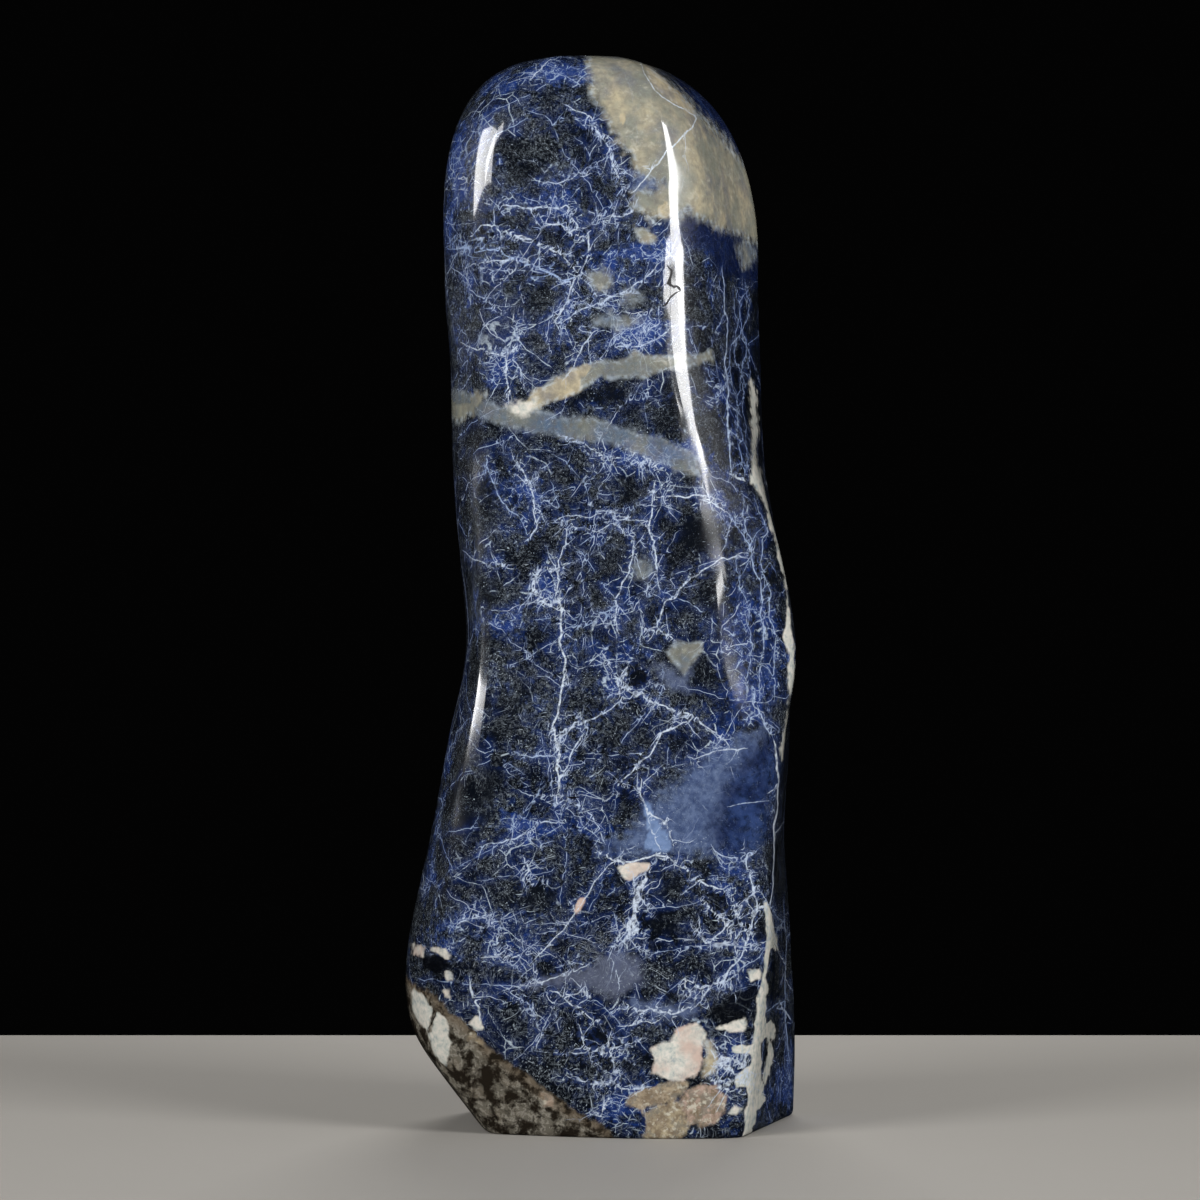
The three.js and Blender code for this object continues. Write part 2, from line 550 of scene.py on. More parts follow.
def nearest_piece(
    points: np.ndarray, starts: np.ndarray, ends: np.ndarray
) -> tuple[np.ndarray, np.ndarray, np.ndarray]:
    """Finds the nearest of several straight pieces, in the plane or in space.

    Args:
        points: where to measure from (n, k).
        starts: where the pieces start (m, k).
        ends: where they end.

    Returns:
        The distance, the index of the piece, and the share along it.
    """
    run = ends - starts
    squared = np.maximum((run**2).sum(axis=1), TINY)
    offset = points[:, None, :] - starts[None, :, :]
    share = np.clip(np.einsum("nmk,mk->nm", offset, run) / squared, 0.0, 1.0)
    away = offset - share[..., None] * run[None]
    distance = np.sqrt((away**2).sum(axis=-1))
    piece = distance.argmin(axis=1)
    rows = np.arange(len(points))
    return distance[rows, piece], piece, share[rows, piece]


class Kind(Enum):
    """What fills a patch of the stone."""

    PALE = "cream to grey-green feldspar"
    # WHITE is white feldspar, and along the right rim it is also a painted reflection.
    WHITE = "white feldspar"
    TAN = "grains of brown and pinkish feldspar"
    ROYAL = "clear royal-blue sodalite"
    MIST = "cloudy blue-grey sodalite"
    MATRIX = "dark mottled mother rock"
    GLOOM = "near-black clear sodalite"


def read_places(drawn: str) -> np.ndarray:
    """Reads places written as "u,v u,v", in frame units."""
    return np.array([pair.split(",") for pair in drawn.split()], float)


@dataclass(frozen=True)
class Patch:
    """A patch of one filling, outlined in frame units, with an edge in mm and the filling's own tint."""

    kind: Kind
    outline: str
    edge: float = 1.2
    tint: float = 0.5


@dataclass(frozen=True)
class Vein:
    """A filled crack, drawn in frame units. Width in mm, and how many side twigs it throws."""

    path: str
    width: float = 0.35
    twigs: int = 4
    tint: float = 0.5
    jag: float = 0.07


@dataclass(frozen=True)
class Cloud:
    """A soft oval in which the stone's own pattern changes: fibres, blue and dark, each -1 to 1."""

    centre: Pair
    reach: Pair
    fibre: float = 0.0
    blue: float = 0.0
    dark: float = 0.0


# ---- The markings of this stone ----

FRONT = Viewpoint(eye=(-0.9, -1549.4, 177.0), ahead=(0.0, 1.0))
REAR = Viewpoint(eye=(0.9, 1549.4, 177.0), ahead=(0.0, -1.0))
LEFT = Viewpoint(eye=(-1549.0, 0.0, 177.0), ahead=(1.0, 0.0))

CREAM_CAP = Patch(
    Kind.PALE,
    "589,48 590,94 604,114 617,140 636,172 650,180 663,182 658,190 644,190 631,194 645,214 675,220 "
    "688,208 703,219 721,229 742,234 766,246 768,200 754,172 742,160 725,140 706,119 680,92 658,73 "
    "650,48",
    edge=2.6,
    tint=0.42,
)
UPPER_BAND = Patch(
    Kind.PALE,
    "520,402 553,379 589,365 617,361 655,356 681,355 712,349 713,361 681,370 655,373 617,379 589,385 "
    "553,398 528,413",
    edge=1.1,
    tint=-0.2,
)
LOWER_BAND = Patch(
    Kind.PALE,
    "450,389 476,398 499,405 522,410 553,413 579,418 604,421 630,428 655,436 675,445 698,455 700,476 "
    "675,474 655,464 630,452 604,443 579,439 553,434 522,429 499,424 476,415 450,406",
    edge=1.4,
    tint=-0.6,
)
MATRIX_FOOT = Patch(
    Kind.MATRIX,
    "380,984 409,982 420,990 430,998 450,1013 475,1030 507,1059 534,1080 561,1099 588,1117 618,1140 "
    "600,1180 430,1180 380,1060",
    edge=0.8,
)
FRONT_PATCHES: tuple[Patch, ...] = (
    CREAM_CAP,
    UPPER_BAND,
    LOWER_BAND,
    MATRIX_FOOT,
    Patch(
        Kind.MATRIX,
        "414,1050 440,1060 452,1078 468,1098 484,1118 500,1140 500,1170 380,1170 380,1050",
        0.3, 1.0,
    ),
    Patch(Kind.TAN, "540,1090 550,1094 559,1104 556,1110 546,1106 539,1098", 0.8, 0.8),
    Patch(Kind.TAN, "468,1032 478,1036 484,1045 476,1044 468,1038", 0.8, 0.0),
    Patch(Kind.PALE, "520,405 553,380 590,364 597,366 584,386 572,396 548,403 528,412", 0.8, 0.8),
    Patch(Kind.WHITE, "503,405 520,402 534,399 530,408 522,417 512,412", 1.6, 0.1),
    Patch(
        Kind.PALE,
        "641,58 646,76 654,89 664,98 674,105 686,112 697,117 694,106 682,94 668,82 656,72 648,60",
        0.5, 0.95,
    ),
    Patch(Kind.PALE, "610,116 624,106 636,116 632,130 618,132", 1.4, 1.3),
    Patch(Kind.PALE, "654,206 664,197 676,203 676,214 664,219 656,216", 0.7, 1.4),
    Patch(
        Kind.ROYAL,
        "678,224 690,210 703,219 721,229 742,235 766,247 766,285 748,284 722,268 704,250 686,248",
        3.0, -0.3,
    ),
    Patch(
        Kind.ROYAL,
        "672,74 690,86 708,99 725,118 740,138 752,156 764,190 770,240 757,190 742,158 724,136 706,118 "
        "690,102 676,90",
        1.2, -0.1,
    ),
    Patch(Kind.MIST, "636,170 652,176 668,180 664,190 644,193 630,192", 1.5, 0.3),
    Patch(Kind.GLOOM, "648,199 656,196 660,203 654,209 648,206", 0.5),
    Patch(Kind.PALE, "634,226 648,228 657,236 655,243 642,243 634,236", 1.0, 0.1),
    Patch(Kind.PALE, "588,272 600,267 610,274 609,287 598,292 588,286", 2.0, -0.1),
    Patch(Kind.PALE, "622,291 636,289 641,298 632,306 622,303", 2.5, -0.5),
    Patch(Kind.PALE, "592,316 612,312 633,316 641,322 620,329 594,326", 1.8, -0.5),
    Patch(Kind.PALE, "665,653 676,640 704,640 697,655 684,676 671,661", 0.9, -0.3),
    Patch(Kind.PALE, "738,242 752,244 756,262 744,268 737,256", 2.0, -0.4),
    Patch(Kind.PALE, "632,563 648,560 652,573 642,579 631,574", 2.6, -0.7),
    Patch(
        Kind.ROYAL,
        "774,728 756,745 736,768 718,800 712,830 716,848 729,857 744,861 757,849 770,829 777,783",
        5.0, 0.05,
    ),
    Patch(
        Kind.MIST,
        "764,732 735,742 706,762 680,778 662,797 640,818 600,850 640,858 680,852 712,854 734,812 "
        "752,776",
        4.0, 0.0,
    ),
    Patch(Kind.MIST, "643,812 646,800 655,814 668,830 673,848 656,852 641,848 646,832", 0.6, -0.7),
    Patch(Kind.MIST, "655,668 683,675 692,660 688,688 670,690", 3.0, 0.5),
    Patch(
        Kind.MIST,
        "524,988 556,976 590,967 614,950 642,961 644,983 612,998 575,985 545,984",
        2.2, 0.9,
    ),
    Patch(Kind.MIST, "630,996 660,1004 692,1004 696,1014 665,1017 632,1010", 2.0, 0.3),
    Patch(Kind.GLOOM, "708,1010 730,992 757,978 752,1004 745,1023 722,1026", 1.2),
    Patch(Kind.GLOOM, "420,957 434,953 447,957 448,967 437,974 423,970", 0.5),
    Patch(
        Kind.WHITE,
        "696,1024 679,1028 672,1042 650,1049 655,1062 650,1074 672,1081 694,1078 702,1066 703,1050 "
        "706,1034",
        0.7, 0.85,
    ),
    Patch(Kind.WHITE, "617,866 634,862 650,863 648,869 638,874 632,880 622,876", 0.6, 0.7),
    Patch(Kind.WHITE, "413,989 421,993 433,1008 431,1018 427,1030 418,1020 412,1005", 0.5, 0.1),
    Patch(
        Kind.WHITE,
        "437,1012 446,1020 449,1030 449,1055 446,1067 439,1062 431,1045 429,1034 433,1025",
        0.5, 0.1,
    ),
    Patch(Kind.WHITE, "412,944 424,947 423,957 413,954", 0.7, 0.7),
    Patch(Kind.WHITE, "431,946 446,948 452,956 449,960 440,955 431,951", 0.5, 0.3),
    Patch(Kind.WHITE, "444,970 452,973 454,981 446,982", 0.5, 0.2),
    Patch(Kind.WHITE, "443,990 449,990 450,999 444,998", 0.6, 0.4),
    Patch(Kind.WHITE, "469,1024 475,1017 480,1018 484,1029 474,1030", 0.5, 0.2),
    Patch(
        Kind.TAN,
        "624,1100 638,1093 656,1087 674,1080 690,1083 684,1092 672,1100 655,1106 640,1109 628,1107",
        0.8, 0.2,
    ),
    Patch(
        Kind.TAN,
        "643,1114 660,1106 678,1104 690,1122 684,1134 672,1142 642,1142 646,1128",
        0.8, 0.0,
    ),
    Patch(
        Kind.TAN,
        "681,1100 690,1088 704,1082 718,1086 727,1098 725,1112 714,1124 700,1128 686,1120",
        0.9, 1.0,
    ),
    Patch(Kind.PALE, "702,1038 712,1040 718,1056 711,1074 702,1078 704,1058", 1.2, 1.2),
    Patch(
        Kind.WHITE,
        "763,901 765,914 766,925 767,939 766,948 764,960 762,976 759,993 757,1007 755,1021 754,1035 "
        "752,1046 742,1045 731,1047 735,1053 751,1054 749,1066 742,1072 735,1078 736,1088 746,1087 "
        "747,1105 745,1119 742,1136 751,1136 755,1122 756,1110 762,1107 766,1099 762,1093 763,1083 "
        "761,1075 762,1062 760,1051 762,1041 768,1037 774,1040 776,1029 771,1020 766,1023 765,1012 "
        "766,996 767,982 768,969 769,956 771,948 779,951 777,939 774,928 771,914 767,902",
        0.35, 0.05,
    ),
    Patch(
        Kind.WHITE,
        "767,1036 772,1046 773,1058 770,1070 765,1084 762,1078 766,1064 768,1052",
        0.4, 0.05,
    ),
    Patch(Kind.WHITE, "742,1108 736,1116 728,1112 734,1104", 0.6, 0.2),
    Patch(Kind.WHITE, "747,971 761,969 761,979 751,982", 0.5, 0.2),
    Patch(Kind.WHITE, "713,1030 730,1025 745,1018 747,1029 729,1033", 0.6, 0.15),
    Patch(Kind.WHITE, "574,911 580,899 587,898 582,908 576,915", 0.5, 1.4),
    # These two pale streaks along the right rim are a painted reflection of light on the flank, laid as
    # white.
    Patch(
        Kind.WHITE,
        "749,378 753,381 757,400 757,425 756,450 760,470 768,488 770,500 764,498 756,490 748,482 "
        "752,468 752,440 752,415 750,395",
        0.7, 0.05,
    ),
    Patch(
        Kind.WHITE,
        "763,496 769,527 776,545 781,568 786,620 790,655 789,686 785,724 781,760 784,762 788,728 "
        "792,690 794,658 790,620 785,562 780,540 773,520 767,498",
        0.5, 0.05,
    ),
)

FRONT_VEINS: tuple[Vein, ...] = (
    # the ring round the small blue patch
    Vein("536,571 546,567 557,571 561,590 556,603 545,600 535,590 536,571", 0.5, 7, 0.8),
    # the long upright vein and what leaves it
    Vein("565,523 566,544 558,561 559,570", 0.4, 3, 0.8),
    Vein(
        "559,568 557,593 561,609 562,634 566,660 563,683 558,711 553,723 557,744 556,769 559,787 "
        "556,805",
        0.75, 8, 0.95,
    ),
    Vein("548,568 540,570 535,577 533,590 538,600 550,606 558,610", 0.6, 3, 0.8),
    Vein("533,590 526,602 519,611", 0.35, 2, 0.6),
    Vein("585,723 566,728 558,739", 0.5, 3, 0.8),
    Vein("584,734 573,749 566,769 559,782", 0.55, 4, 0.8),
    Vein("515,752 530,757 556,755", 0.4, 2, 0.4),
    # upper left fan
    Vein("552,59 541,70 530,80", 0.4, 1, 0.8),
    Vein("563,104 591,117 604,140 613,165 627,188", 0.4, 4, 0.8),
    Vein("591,117 612,150 634,178", 0.3, 3, 0.5),
    Vein("543,183 556,184 576,177 591,173", 0.35, 3, 0.7),
    Vein("485,203 510,206 540,207 566,205 572,212", 0.55, 5, 0.7),
    Vein("590,212 606,219 622,217 634,210 638,198", 0.45, 5, 0.75),
    Vein(
        "470,237 480,226 489,225 500,231 512,234 523,236 535,243 546,247 558,252 571,265 576,272",
        0.6, 8, 0.85,
    ),
    Vein("566,210 575,222 588,232 589,246 586,262 582,270", 0.5, 4, 0.85),
    Vein("546,224 565,230 588,239", 0.45, 2, 0.9),
    Vein("448,249 470,247 487,249 510,257 543,270 563,281 578,275", 0.7, 8, 0.25),
    Vein("578,275 570,290 566,305 553,323", 0.6, 6, 0.8),
    Vein("578,275 590,285 600,300 606,306", 0.4, 3, 0.5),
    Vein("543,271 530,262 515,260 480,263 466,268", 0.45, 5, 0.7),
    Vein("661,262 650,274 634,285 613,296 598,304 575,313 553,323", 0.5, 5, 0.7),
    Vein("677,236 672,252 661,262", 0.45, 3, 0.5),
    Vein("461,342 472,348 484,349 497,354 507,356 517,346 522,331", 0.5, 5, 0.8),
    Vein("506,356 507,380 508,402", 0.5, 3, 0.9),
    Vein("512,359 520,368 524,387", 0.35, 3, 0.7),
    Vein("563,380 575,362 583,345 596,330", 0.4, 3, 0.8),
    Vein("611,346 630,346 650,342 664,334 672,326", 0.5, 4, 0.6),
    Vein("630,330 645,333 660,323", 0.5, 4, 0.6),
    Vein("452,268 470,290 486,300 497,312", 0.3, 3, 0.5),
    # vein of the cream cap
    Vein(
        "640,62 646,76 653,88 662,97 673,104 684,109 697,117 692,128 680,139 667,150 659,163 646,178 "
        "632,193",
        0.7, 2, 1.0, 0.04,
    ),
    # under the bands
    Vein("512,452 520,466 530,485 534,497 535,518 533,533 526,541", 0.5, 6, 0.75),
    Vein("487,457 492,480 502,502 513,513 525,521", 0.4, 4, 0.3),
    Vein("560,436 585,444 604,456 640,462 650,466", 0.45, 5, 0.6),
    Vein("595,449 602,456 604,464", 0.5, 2, 0.9),
    Vein("632,452 648,461 662,470", 0.5, 4, 0.9),
    Vein("655,482 652,500 652,516 649,530 654,548 658,569 655,579", 0.6, 6, 0.85),
    Vein("655,497 672,496 686,498 700,495 709,500 720,508 727,513", 0.55, 5, 0.85),
    Vein("633,536 633,553 630,572 622,582 616,600 615,618 619,634", 0.55, 6, 0.75),
    Vein("555,521 590,518 615,517 646,521", 0.35, 4, 0.7),
    Vein("560,520 590,530 603,529 612,523 622,530 640,540", 0.35, 5, 0.7),
    Vein("726,511 734,520 744,536 752,552", 0.45, 3, 0.3),
    Vein(
        "746,553 734,557 721,558 703,570 690,577 681,586 675,598 662,610 660,620 657,630",
        0.5, 4, 0.85,
    ),
    Vein("641,627 655,630 668,636 674,640", 0.5, 3, 0.8),
    Vein("462,550 475,560 486,564 500,566 512,569", 0.35, 3, 0.8),
    Vein("721,553 727,535 733,519", 0.3, 2, 0.7),
    # the star in the middle
    Vein("603,654 608,664 613,673", 0.4, 1, 0.7),
    Vein("631,662 622,674 616,683 619,690 622,699", 0.5, 3, 0.8),
    Vein("627,668 624,685 617,694", 0.4, 2, 0.8),
    Vein(
        "621,688 635,695 645,697 656,705 668,709 688,713 698,720 708,728 721,737 729,746",
        0.55, 5, 0.85,
    ),
    Vein("637,697 617,703 603,714 590,720 575,722 562,735", 0.5, 6, 0.7),
    Vein("691,720 676,727 662,732 655,746 648,757 636,766 630,774 618,786", 0.6, 6, 0.85),
    Vein("689,757 700,757 715,751 730,749 746,748", 0.45, 3, 0.75),
    Vein("642,780 640,795 647,808 655,817 664,822 670,832 673,845", 0.6, 4, 0.9),
    Vein("644,800 648,820 655,838 661,850", 0.35, 2, 0.9),
    Vein("724,650 735,645 752,644", 0.35, 2, 0.8),
    Vein("470,718 457,731 449,751 443,771 438,792 437,830 452,868", 0.35, 4, 0.3),
    Vein("556,805 564,800 580,806 592,815 600,829 604,842", 0.5, 6, 0.6),
    # round the small cream patch
    Vein("596,853 612,860 628,862 645,858 655,855 672,862", 0.7, 5, 0.95),
    Vein("612,863 603,872 594,882 589,893 579,908 570,920 563,931 543,951 530,964", 0.45, 3, 0.9, 0.05),
    Vein("673,862 684,868 693,876 706,885 716,888 727,890", 0.6, 5, 0.85),
    Vein("649,867 644,883 638,894 636,908 633,920 630,934 627,947", 1.0, 8, 0.8, 0.12),
    Vein("646,872 640,890 634,905 636,920 632,940", 0.8, 6, 0.9, 0.14),
    Vein("640,893 628,925 617,940 622,948", 0.6, 6, 0.8, 0.12),
    Vein("480,847 510,839 535,829 545,821 562,823", 0.5, 6, 0.6),
    Vein("524,858 530,870 522,880 534,884", 0.5, 6, 0.8),
    Vein("457,925 470,919 490,917 494,928", 0.5, 6, 0.7),
    Vein("494,928 498,950 512,958 536,953", 0.4, 5, 0.7),
    Vein("481,958 495,957 512,957", 0.4, 2, 0.8),
    Vein("470,980 473,998 479,1008 480,1020", 0.8, 1, 0.95),
    # right-hand net
    Vein("700,900 716,914 727,926 735,948 740,960", 0.5, 7, 0.9),
    Vein("744,900 738,916 722,932 706,944 697,930", 0.45, 7, 0.85),
    Vein("742,862 751,880 757,905 752,930 745,948 737,962 722,982 706,992 695,1008", 0.7, 9, 0.75),
    Vein("627,1004 650,1010 670,1013 694,1007", 0.8, 6, 0.8),
    Vein("706,992 696,985 684,978 690,996 700,1002", 0.5, 7, 0.95),
    Vein("733,897 737,915 745,930 751,950", 0.5, 7, 0.8),
    # the arc and what hangs below it
    Vein("510,987 530,984 553,978 572,972 589,965", 0.4, 3, 0.85),
    Vein("551,991 570,995 591,996", 0.5, 2, 0.9),
    Vein("558,992 568,1002 579,1010 590,1018 600,1023", 0.45, 3, 0.9),
    Vein("612,960 617,975 619,990", 0.3, 2, 0.7),
    Vein("533,1013 536,1026 542,1033 536,1048", 0.4, 4, 0.7),
    Vein("500,985 515,996 530,1004 534,1015", 0.35, 4, 0.6),
    Vein("579,1025 584,1045 598,1052 610,1058 617,1066", 0.4, 6, 0.85),
    Vein("555,1052 580,1053 602,1052 625,1046 640,1041", 0.4, 6, 0.8),
    Vein("612,1030 608,1045 612,1058 617,1075 618,1086", 0.4, 5, 0.85),
    Vein("620,1026 640,1022 655,1024", 0.4, 3, 0.9),
    Vein("566,1075 590,1083 612,1085 630,1090 650,1088", 0.45, 6, 0.8),
    Vein("596,1112 603,1118 606,1103 610,1095", 0.45, 3, 0.9),
    # right flank
    Vein("722,268 724,300 727,340 728,380 727,420 730,445 731,474", 1.0, 6, 0.5, 0.06),
    Vein("731,474 737,478 744,480", 1.4, 1, 0.9, 0.04),
    Vein("738,290 741,330 740,380 743,440 744,478", 0.4, 5, 0.2, 0.1),
    Vein("744,500 752,540 760,580 764,640 760,700", 0.55, 5, 0.4, 0.08),
    Vein("752,700 762,718 771,735", 0.8, 3, 0.5),
    Vein("729,807 745,803 768,801", 0.3, 0, 0.5, 0.02),
    Vein("712,846 730,858 745,862 757,850", 0.5, 2, 0.5),
    Vein("783,900 786,960 785,1010 789,1060", 1.6, 4, 0.3, 0.03),
    Vein("779,1000 786,1012 791,1020", 1.0, 1, 0.6, 0.03),
    Vein("765,904 758,908 750,916", 0.8, 6, 0.9),
    Vein("750,1060 738,1062 726,1058 716,1064", 0.9, 8, 1.0, 0.1),
    Vein("748,1084 736,1082 722,1086 712,1080", 0.9, 8, 1.0, 0.1),
    Vein("752,1098 754,1108 752,1120", 0.5, 0, 0.2),
    Vein("768,926 778,948 786,966 790,990", 0.5, 4, 1.0, 0.1),
    Vein("774,741 777,760 779,777 778,804 774,847 773,880 770,906", 2.6, 2, 1.0, 0.03),
    Vein("712,1052 722,1064 733,1072 745,1082 755,1085", 1.0, 7, 0.9, 0.1),
    Vein("747,1050 741,1066 746,1078", 1.0, 5, 0.9, 0.1),
    Vein("745,280 747,320 750,360 749,380", 0.3, 4, 0.3, 0.1),
    Vein("734,300 735,340 733,390 737,430", 0.35, 5, 0.3, 0.1),
    Vein("742,330 744,380 746,430 748,470", 0.4, 3, 0.3, 0.08),
    Vein("755,500 762,540 770,590 776,640 774,700", 0.45, 4, 0.4, 0.08),
    Vein("736,560 746,600 752,650 748,690", 0.35, 4, 0.3, 0.1),
)

FRONT_CRACKS: tuple[Vein, ...] = (
    Vein("668,266 671,275 667,283 674,287 681,291", 1.2, 0, 0.0, 0.16),
    Vein("680,291 672,296 668,302 663,306", 1.0, 0, 0.0, 0.16),
    Vein("437,1011 433,1020 427,1034", 0.4, 0, 0.0, 0.08),
    Vein("568,797 572,798 577,797", 0.9, 0, 0.0, 0.08),
)

FRONT_CLOUDS: tuple[Cloud, ...] = (
    Cloud((560, 78), (70, 22), 0.2, 0.8, 0.0),
    Cloud((455, 150), (12, 70), 0.0, 0.8, 0.0),
    Cloud((575, 135), (42, 36), -0.45, -0.3, 0.5),
    Cloud((520, 160), (30, 30), -0.1, -0.2, 0.3),
    Cloud((560, 232), (26, 12), -0.6, -0.4, 0.6),
    Cloud((500, 200), (40, 14), 0.4, 0.3, -0.2),
    Cloud((560, 330), (110, 60), 0.5, 0.2, -0.3),
    Cloud((560, 150), (80, 50), 0.4, 0.1, -0.2),
    Cloud((640, 245), (40, 24), 0.2, 0.5, -0.2),
    Cloud((712, 225), (20, 30), -0.4, 0.9, -0.1),
    Cloud((600, 260), (30, 20), -0.2, 0.3, 0.2),
    Cloud((500, 310), (36, 30), 0.3, -0.4, 0.0),
    Cloud((545, 300), (14, 20), -0.5, -0.3, 0.6),
    Cloud((650, 330), (30, 14), 0.1, 0.9, 0.0),
    Cloud((600, 395), (60, 12), -0.4, 0.2, 0.5),
    Cloud((655, 395), (40, 14), -0.4, 0.3, 0.4),
    Cloud((660, 455), (36, 22), 0.2, 0.8, -0.2),
    Cloud((715, 490), (20, 26), 0.0, 0.9, 0.0),
    Cloud((510, 480), (50, 40), 0.1, 0.2, 0.1),
    Cloud((590, 500), (50, 20), -0.1, -0.7, -0.1),
    Cloud((600, 550), (34, 50), 0.2, -0.8, 0.1),
    Cloud((678, 525), (28, 28), -0.6, 0.1, 0.7),
    Cloud((690, 600), (26, 40), -0.3, -0.3, 0.5),
    Cloud((740, 600), (20, 50), -0.4, 0.5, 0.2),
    Cloud((625, 600), (14, 20), -0.3, 0.5, 0.4),
    Cloud((546, 584), (13, 17), 0.1, 1.2, -0.3),
    Cloud((500, 620), (50, 14), 0.2, 0.6, -0.1),
    Cloud((545, 650), (60, 16), 0.2, 0.5, 0.0),
    Cloud((620, 650), (60, 12), 0.1, 0.7, 0.0),
    Cloud((500, 655), (30, 24), 0.3, -0.7, -0.1),
    Cloud((495, 725), (36, 26), -0.1, -0.7, 0.4),
    Cloud((600, 690), (40, 14), 0.2, 0.4, 0.0),
    Cloud((560, 745), (40, 26), 0.2, 0.6, -0.1),
    Cloud((640, 740), (34, 20), -0.2, -0.6, 0.4),
    Cloud((635, 680), (16, 12), -0.6, -0.5, 0.8),
    Cloud((740, 690), (26, 30), -0.2, 0.8, 0.1),
    Cloud((565, 825), (60, 16), 0.1, 0.8, -0.1),
    Cloud((625, 830), (36, 12), -0.2, 0.8, 0.0),
    Cloud((620, 805), (26, 16), -0.3, -0.5, 0.6),
    Cloud((470, 800), (24, 50), -0.2, -0.3, 0.4),
    Cloud((560, 885), (50, 20), -0.2, -0.2, 0.4),
    Cloud((672, 905), (30, 34), -0.3, -0.5, 0.6),
    Cloud((650, 940), (20, 20), -0.1, -0.3, 0.5),
    Cloud((480, 930), (40, 30), 0.3, 0.3, -0.3),
    Cloud((560, 955), (40, 14), 0.2, 0.5, -0.1),
    Cloud((690, 960), (50, 60), 0.1, -0.35, 0.15),
    Cloud((530, 880), (60, 40), 0.1, -0.3, 0.1),
    Cloud((530, 1030), (50, 38), 0.5, -0.7, 0.1),
    Cloud((600, 1030), (40, 40), -0.4, -0.9, 0.7),
    Cloud((568, 1072), (34, 20), 0.6, -0.7, -0.4),
    Cloud((620, 1110), (30, 16), 0.0, 0.6, 0.1),
    Cloud((730, 1050), (22, 26), 0.4, 0.6, -0.4),
    Cloud((785, 1085), (14, 30), 0.2, 0.7, -0.3),
    Cloud((770, 620), (20, 80), -0.6, 0.4, 0.5),
    Cloud((745, 360), (26, 100), -0.8, 0.4, 0.9),
    Cloud((766, 430), (14, 90), -0.8, 0.0, 0.9),
    Cloud((770, 980), (14, 70), -0.5, 0.4, 0.3),
)

FRONT_DULL: tuple[Cloud, ...] = (
    Cloud((712, 535), (16, 28), dark=0.8),
    Cloud((684, 424), (4, 12), dark=1.0),
    Cloud((688, 442), (4, 10), dark=1.0),
    Cloud((692, 460), (5, 12), dark=1.1),
    Cloud((697, 480), (4.5, 12), dark=1.1),
    Cloud((700, 494), (4, 8), dark=0.6),
    Cloud((486, 500), (18, 44), dark=1.2),
    Cloud((484, 590), (18, 50), dark=1.2),
    Cloud((474, 795), (24, 50), dark=1.4),
    Cloud((742, 640), (14, 44), dark=1.2),
)

REAR_PATCHES: tuple[Patch, ...] = (
    Patch(Kind.PALE, "440,40 560,40 566,76 548,110 520,132 498,170 470,206 430,214 410,150", 2.0, 0.75),
    Patch(
        Kind.PALE,
        "430,398 480,410 540,398 600,404 662,390 720,396 762,384 764,404 716,420 660,412 602,428 "
        "538,420 478,434 432,424",
        1.8, 0.3,
    ),
    Patch(Kind.PALE, "500,640 530,622 560,634 566,660 540,676 508,668", 3.0, -0.6),
    Patch(Kind.MIST, "640,820 690,800 716,826 700,852 656,858 630,846", 7.0, 0.2),
    Patch(Kind.WHITE, "425,930 440,980 438,1040 452,1100 444,1140 420,1140 424,1050 415,980", 1.2, 0.2),
    Patch(Kind.WHITE, "560,1000 590,985 606,1008 590,1040 566,1036", 0.8, 0.3),
    Patch(Kind.MATRIX, "815,930 790,960 764,1000 730,1040 700,1090 676,1170 830,1180", 1.0),
)

REAR_VEINS: tuple[Vein, ...] = (
    Vein("470,220 520,250 560,300 580,360 570,420 600,480 590,560", 0.7, 12, 0.8),
    Vein("700,120 660,190 650,260 610,310 580,360", 0.55, 10, 0.7),
    Vein("590,560 560,620 580,700 560,780 590,860 570,940 590,1010", 0.7, 12, 0.9),
    Vein("590,560 650,590 700,640 740,650", 0.5, 7, 0.7),
    Vein("580,700 640,720 700,700 750,730", 0.5, 7, 0.6),
    Vein("560,780 500,810 450,800", 0.5, 6, 0.5),
    Vein("570,940 640,950 700,990 740,1000", 0.55, 7, 0.8),
    Vein("430,300 470,330 520,330 580,360", 0.4, 6, 0.6),
    Vein("640,1020 620,1070 650,1120", 0.45, 6, 0.8),
)

REAR_CLOUDS: tuple[Cloud, ...] = (
    Cloud((520, 610), (50, 90), blue=0.9),
    Cloud((690, 830), (60, 70), blue=0.7, fibre=0.3),
    Cloud((650, 210), (60, 100), fibre=0.5, blue=0.4),
    Cloud((470, 770), (50, 100), dark=0.7),
    Cloud((700, 600), (50, 120), dark=0.6, blue=0.3),
    Cloud((510, 1060), (80, 60), blue=0.6),
    Cloud((600, 480), (80, 50), fibre=0.7),
    Cloud((520, 300), (60, 60), dark=0.6),
    Cloud((640, 960), (60, 50), fibre=0.6),
)

LEFT_PATCHES: tuple[Patch, ...] = (
    Patch(
        Kind.PALE,
        "480,392 540,398 600,388 660,398 720,392 720,410 660,418 600,408 540,420 480,408",
        1.6, 0.25,
    ),
    Patch(Kind.MATRIX, "460,1000 520,985 580,990 640,988 690,996 740,1012 740,1180 460,1180", 1.2),
)

LEFT_CLOUDS: tuple[Cloud, ...] = (
    Cloud((600, 600), (60, 80), dark=0.7),
    Cloud((560, 250), (60, 90), fibre=0.6),
    Cloud((650, 760), (60, 90), blue=0.7),
    Cloud((530, 480), (50, 60), blue=0.5, fibre=0.3),
    Cloud((640, 150), (60, 60), blue=0.6),
)

LEFT_VEINS: tuple[Vein, ...] = (
    Vein("600,80 590,150 620,220 600,300 630,380", 0.6, 9, 0.7),
    Vein("540,430 570,500 550,580 590,660 570,740 600,820 590,900", 0.6, 12, 0.8),
    Vein("650,480 640,560 660,640 640,720", 0.5, 7, 0.6),
    Vein("520,860 570,880 620,870 680,900", 0.5, 7, 0.7),
)


